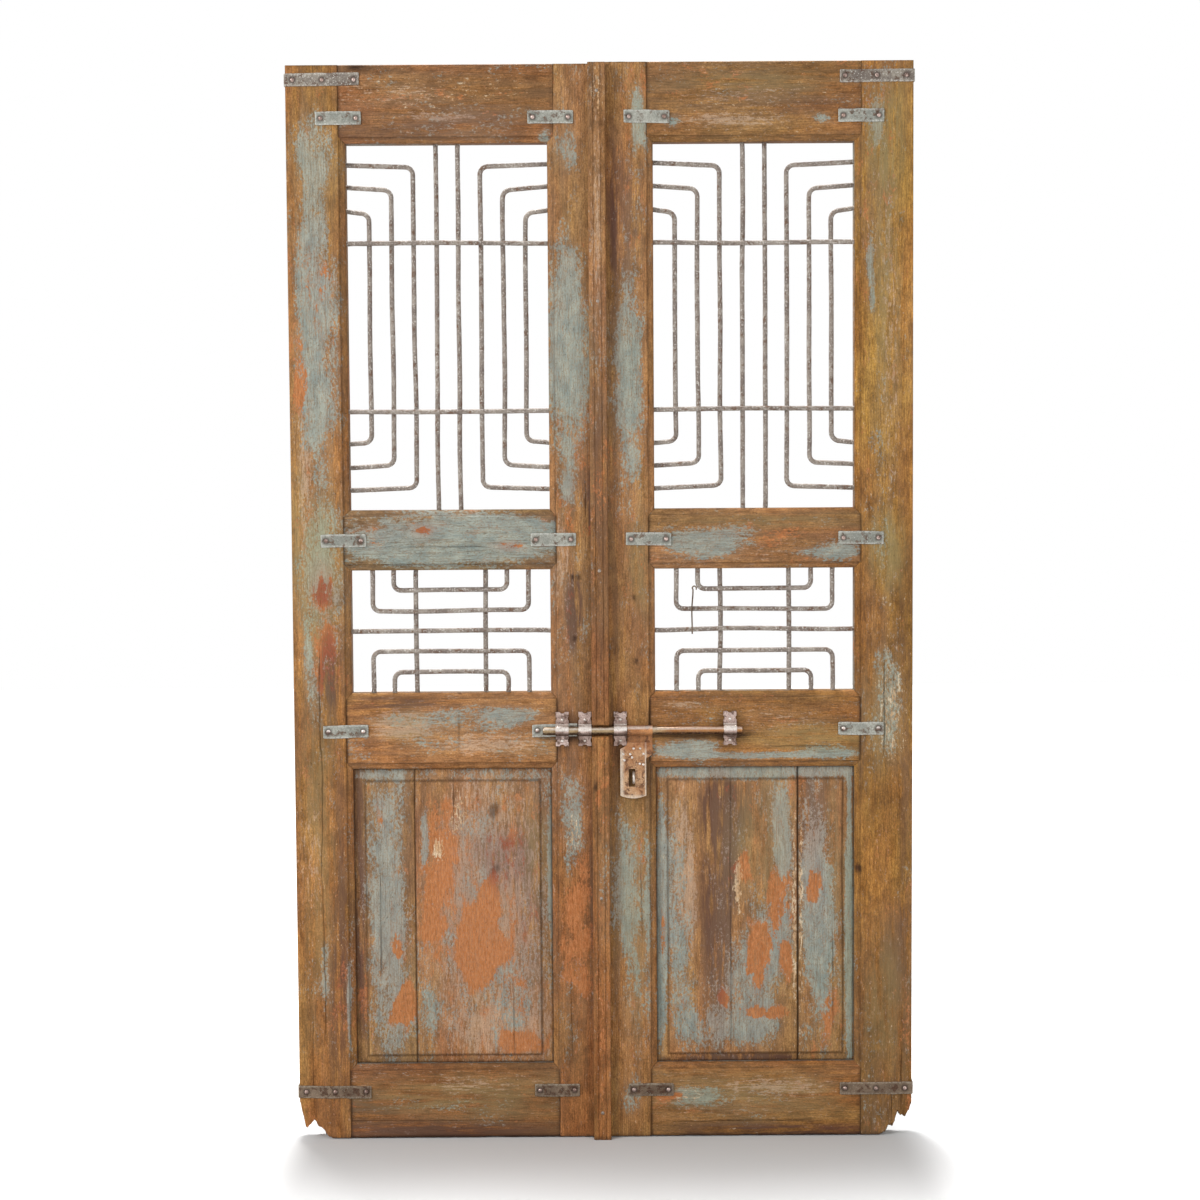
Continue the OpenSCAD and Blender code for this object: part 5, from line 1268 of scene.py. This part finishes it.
# Cracks, as (across, from, to, width, depth, wander) in each member's own frame
STILE_CRACKS = {
    ("left", "outer"): [(52, 175, 985, 0.8, 2.2, 2.5), (28, 20, 260, 0.8, 2.5, 2.0)],
    ("left", "meeting"): [(30, 1215, 1300, 1.4, 4.5, 1.5), (64, 140, 330, 0.7, 2.0, 2.0)],
    ("right", "outer"): [(56, 740, 975, 1.2, 4.0, 2.0), (20, 0, 190, 1.2, 4.0, 2.0),
                         (39, 0, 120, 1.0, 3.0, 1.5)],
    ("right", "meeting"): [(72, 380, 560, 0.7, 2.0, 1.5)],
}
RAIL_CRACKS = {
    ("left", "middle"): [(44, -400, -200, 0.6, 1.5, 1.5)],
    ("left", "bottom"): [(35, -560, -40, 0.7, 1.6, 1.0)],
    ("right", "lock"): [(40, 300, 480, 0.7, 2.0, 1.5)],
    ("right", "bottom"): [(30, 120, 420, 0.8, 2.0, 2.0)],
}
PANEL_CRACKS = {
    ("left", "wide"): [(-295, 600, 728, 1.2, 2.5, 1.0), (-180, 130, 330, 1.0, 2.0, 2.0)],
    ("left", "narrow"): [(-440, 300, 560, 0.8, 1.5, 2.0)],
    ("right", "wide"): [(248, 130, 740, 0.8, 1.2, 0.8), (207, 640, 740, 1.2, 2.5, 1.0)],
    ("right", "narrow"): [(448, 180, 420, 0.9, 2.0, 2.0)],
}

offsets = np.random.default_rng(29).uniform(0, 9, (20, 3)).round(2)
boards = iter(offsets)
for side in SIDES:
    for which in ("outer", "meeting"):
        piece = build_stile(side, which, STILE_CRACKS[side, which], next(boards),
                            100 + 40 * (which == "outer") + 20 * (side == "left"))
        finish_piece(piece, "leaves", "weathered_teak", wood, f"{side}_{which}_stile")
    for i, which in enumerate(RAILS):
        piece = build_rail(side, which, RAIL_CRACKS.get((side, which), []), next(boards),
                           220 + 20 * i + 7 * (side == "left"))
        finish_piece(piece, "leaves", "weathered_teak", wood, f"{side}_{which}_rail")
    for which in ("wide", "narrow"):
        piece = build_panel_board(side, which, PANEL_CRACKS[side, which], next(boards),
                                  320 + 9 * (which == "wide") + 3 * (side == "left"))
        finish_piece(piece, "leaves", "painted_panel", wood, f"{side}_panel_{which}_board")
finish_piece(build_cover_strip(), "leaves", "weathered_teak", wood, "cover_strip")

# ------------------------------------------------------------------ the iron

for side in SIDES:
    for piece, node in build_grille(side):
        finish_piece(piece, "leaves", "grille_iron", grille_iron, node)
wire_lo, wire_hi = box_mm("wire_remnant")
wire_x, wire_y = (wire_lo[0] + wire_hi[0]) / 2, (wire_lo[1] + wire_hi[1]) / 2
hook_turn = np.linspace(math.pi, -0.6, 12)
hook = np.stack([wire_x + 4 + 4 * np.cos(hook_turn), 0 * hook_turn + wire_y,
                 wire_hi[2] - 5 + 4.5 * np.sin(hook_turn)], 1)
stem_z = np.linspace(wire_lo[2], wire_hi[2] - 7, 20)
stem = np.stack([wire_x + 1.6 * cloud(stem_z, 0, 40, 1, 5), wire_y + 0 * stem_z, stem_z], 1)
finish_piece(add_iron("wire_remnant_iron", [tube(np.vstack([stem, hook]), 1.4, 10)]),
             "leaves", "grille_iron", foot_iron, "wire_remnant")

strap_seed = 600
for node in sorted(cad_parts):
    if node.endswith("_strap") and node != "hasp_strap":
        strap_seed += 5
        if "corner" in node:
            piece = build_corner_strap(node, node.split("_")[0], strap_seed)
            slot, material = "rusted_strap_iron", wrap_iron
        else:
            piece = build_short_strap(node, strap_seed)
            slot, material = "painted_strap_iron", strap_iron
        if box_mm(node)[1][2] < openings[0][0]:
            material = foot_iron
        finish_piece(piece, "leaves", slot, material, node)
finish_piece(build_bolt_rod(), "bolt", "bolt_iron", bolt_iron, "bolt_rod")


def softened(node, body, slot, material, width):
    """A merged copy of a CAD node whose edges are worn round by a bevel, when width is not zero.
    """
    copy = add_object(node + "_worn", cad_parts[node].data.copy())
    bpy.context.view_layer.objects.active = copy
    copy.modifiers.new("merge", "WELD").merge_threshold = 0.00001
    if width:
        bevel = copy.modifiers.new("bevel", "BEVEL")
        bevel.width, bevel.segments = width * MM, 2
        bevel.limit_method, bevel.angle_limit = "ANGLE", math.radians(40)
    copy.data.polygons.foreach_set("use_smooth", np.ones(len(copy.data.polygons), bool))
    copy.modifiers.new("normals", "WEIGHTED_NORMAL").keep_sharp = True
    finish_piece(copy, body, slot, material, node)


for place in ("end", "left", "middle", "tail"):
    softened(place + "_keeper", "leaves", "keeper_iron", keeper_iron, 0.5)
softened("padlock_staple", "leaves", "keeper_iron", staple_iron, 0.2)
softened("hasp_strap", "hasp", "rusted_hasp_iron", hasp_iron, 0.4)
softened("hasp_plate", "hasp", "hasp_plate_iron", plate_iron, 0)
for side in SIDES:
    softened(side + "_strap_nails", "leaves", "nail_iron", keeper_iron, 0.2)
softened("cover_nails", "leaves", "nail_iron", nail_iron, 0.2)
softened("keeper_nails", "leaves", "nail_iron", staple_iron, 0.2)
softened("hasp_rivets", "hasp", "nail_iron", staple_iron, 0.2)

# ------------------------------------------------------------------ stage, light and camera

def backdrop_white(f, more, always):
    """Strength of white light: always, and more for rays from the camera or off gloss or
    through glass."""
    ray = f.node("LightPath", {}).outputs
    seen = f.calc("MAXIMUM", ray["Is Camera Ray"],
                  f.calc("MAXIMUM", ray["Is Glossy Ray"], ray["Is Transmission Ray"]))
    return f.plus(f.times(seen, more), always)


WORLD_LIGHT = 0.46
sky = Finish(bpy.data.worlds.new("studio"), "Background")
bpy.context.scene.world = sky.owner
sky.set(Color=(1, 1, 1, 1), Strength=backdrop_white(sky, 1 - WORLD_LIGHT, WORLD_LIGHT))

# The floor's own white comes in away from the foot: over FLOOR_FADE metres before and
# behind it, and SIDE_FADE times as fast beyond FLOOR_HALF metres to either side. Holding it
# back near the foot paints a soft shadow round the door on the floor.
FLOOR_HALF, SIDE_FADE, FLOOR_FADE, FLOOR_WHITE = 0.56, 7.0, 1.3, 0.9
corners = np.array([[-9000, -7000, 0], [9000, -7000, 0], [9000, 9000, 0], [-9000, 9000, 0.0]])
floor = add_mesh("floor", corners, [np.array([[0, 1, 2, 3]])], soft=False)
f = Finish(bpy.data.materials.new("floor"))
ground = f.node("SeparateXYZ", {0: f.node("TexCoord", {}).outputs["Object"]}).outputs
beside = f.calc("SUBTRACT", f.calc("ABSOLUTE", ground[0]), FLOOR_HALF)
beside = f.times(f.calc("MAXIMUM", beside, 0.0), SIDE_FADE)
away = f.node("CombineXYZ", {0: beside, 1: ground[1]}).outputs[0]
away = f.node("VectorMath", {0: away}, operation="LENGTH").outputs["Value"]
# Less glow near the door: a painted shadow round its foot
f.set(Base_Color=(0.64, 0.64, 0.64, 1), Roughness=0.9, Specular_IOR_Level=0.1,
      Emission_Color=(1, 1, 1, 1), Emission_Strength=f.times(
          backdrop_white(f, 1.0, 0.0), f.step(away, 0.0, FLOOR_FADE, 0.0, FLOOR_WHITE)))
floor.data.materials.append(f.owner)


def add_light(name, location, target, size, power):
    """A rectangular lamp whose -Z points at the target and whose X is level."""
    lamp = bpy.data.lights.new(name, "AREA")
    lamp.shape, lamp.energy = "RECTANGLE", power
    lamp.size, lamp.size_y = size
    back = np.array(location) - np.array(target)
    back /= np.linalg.norm(back)
    right = np.cross((0, 0, 1), back)
    right /= np.linalg.norm(right)
    turn = Matrix(np.stack([right, np.cross(back, right), back], 1).tolist())
    add_object(name, lamp).matrix_world = Matrix.Translation(location) @ turn.to_4x4()


add_light("key_light", (-3.6, -3.0, 3.2), (0, 0, 1.2), (2.0, 2.0), 162)
add_light("fill_light", (3.0, -3.8, 1.6), (0, 0, 1.0), (2.4, 2.4), 58)
add_light("top_light", (-0.4, 1.1, 4.6), (0, 0, 0.2), (1.4, 1.4), 260)

# The camera's lens and sensor in millimetres, its place in metres, and how far it turns
# aside, looks down and rolls in degrees
LENS, SENSOR, EYE = 69.15, 36.0, (-0.015, -4.5, 1.337)
ASIDE, DOWN, ROLL = -0.126, 3.5, -0.361
camera = add_object("camera", bpy.data.cameras.new("camera"))
camera.data.lens, camera.data.sensor_width = LENS, SENSOR
camera.matrix_world = (Matrix.Translation(EYE)
                       @ Matrix.Rotation(math.radians(ASIDE), 4, "Z")
                       @ Matrix.Rotation(math.radians(90 - DOWN), 4, "X")
                       @ Matrix.Rotation(math.radians(ROLL), 4, "Z"))
bpy.context.scene.camera = camera
bpy.context.scene.view_settings.view_transform = "Standard"
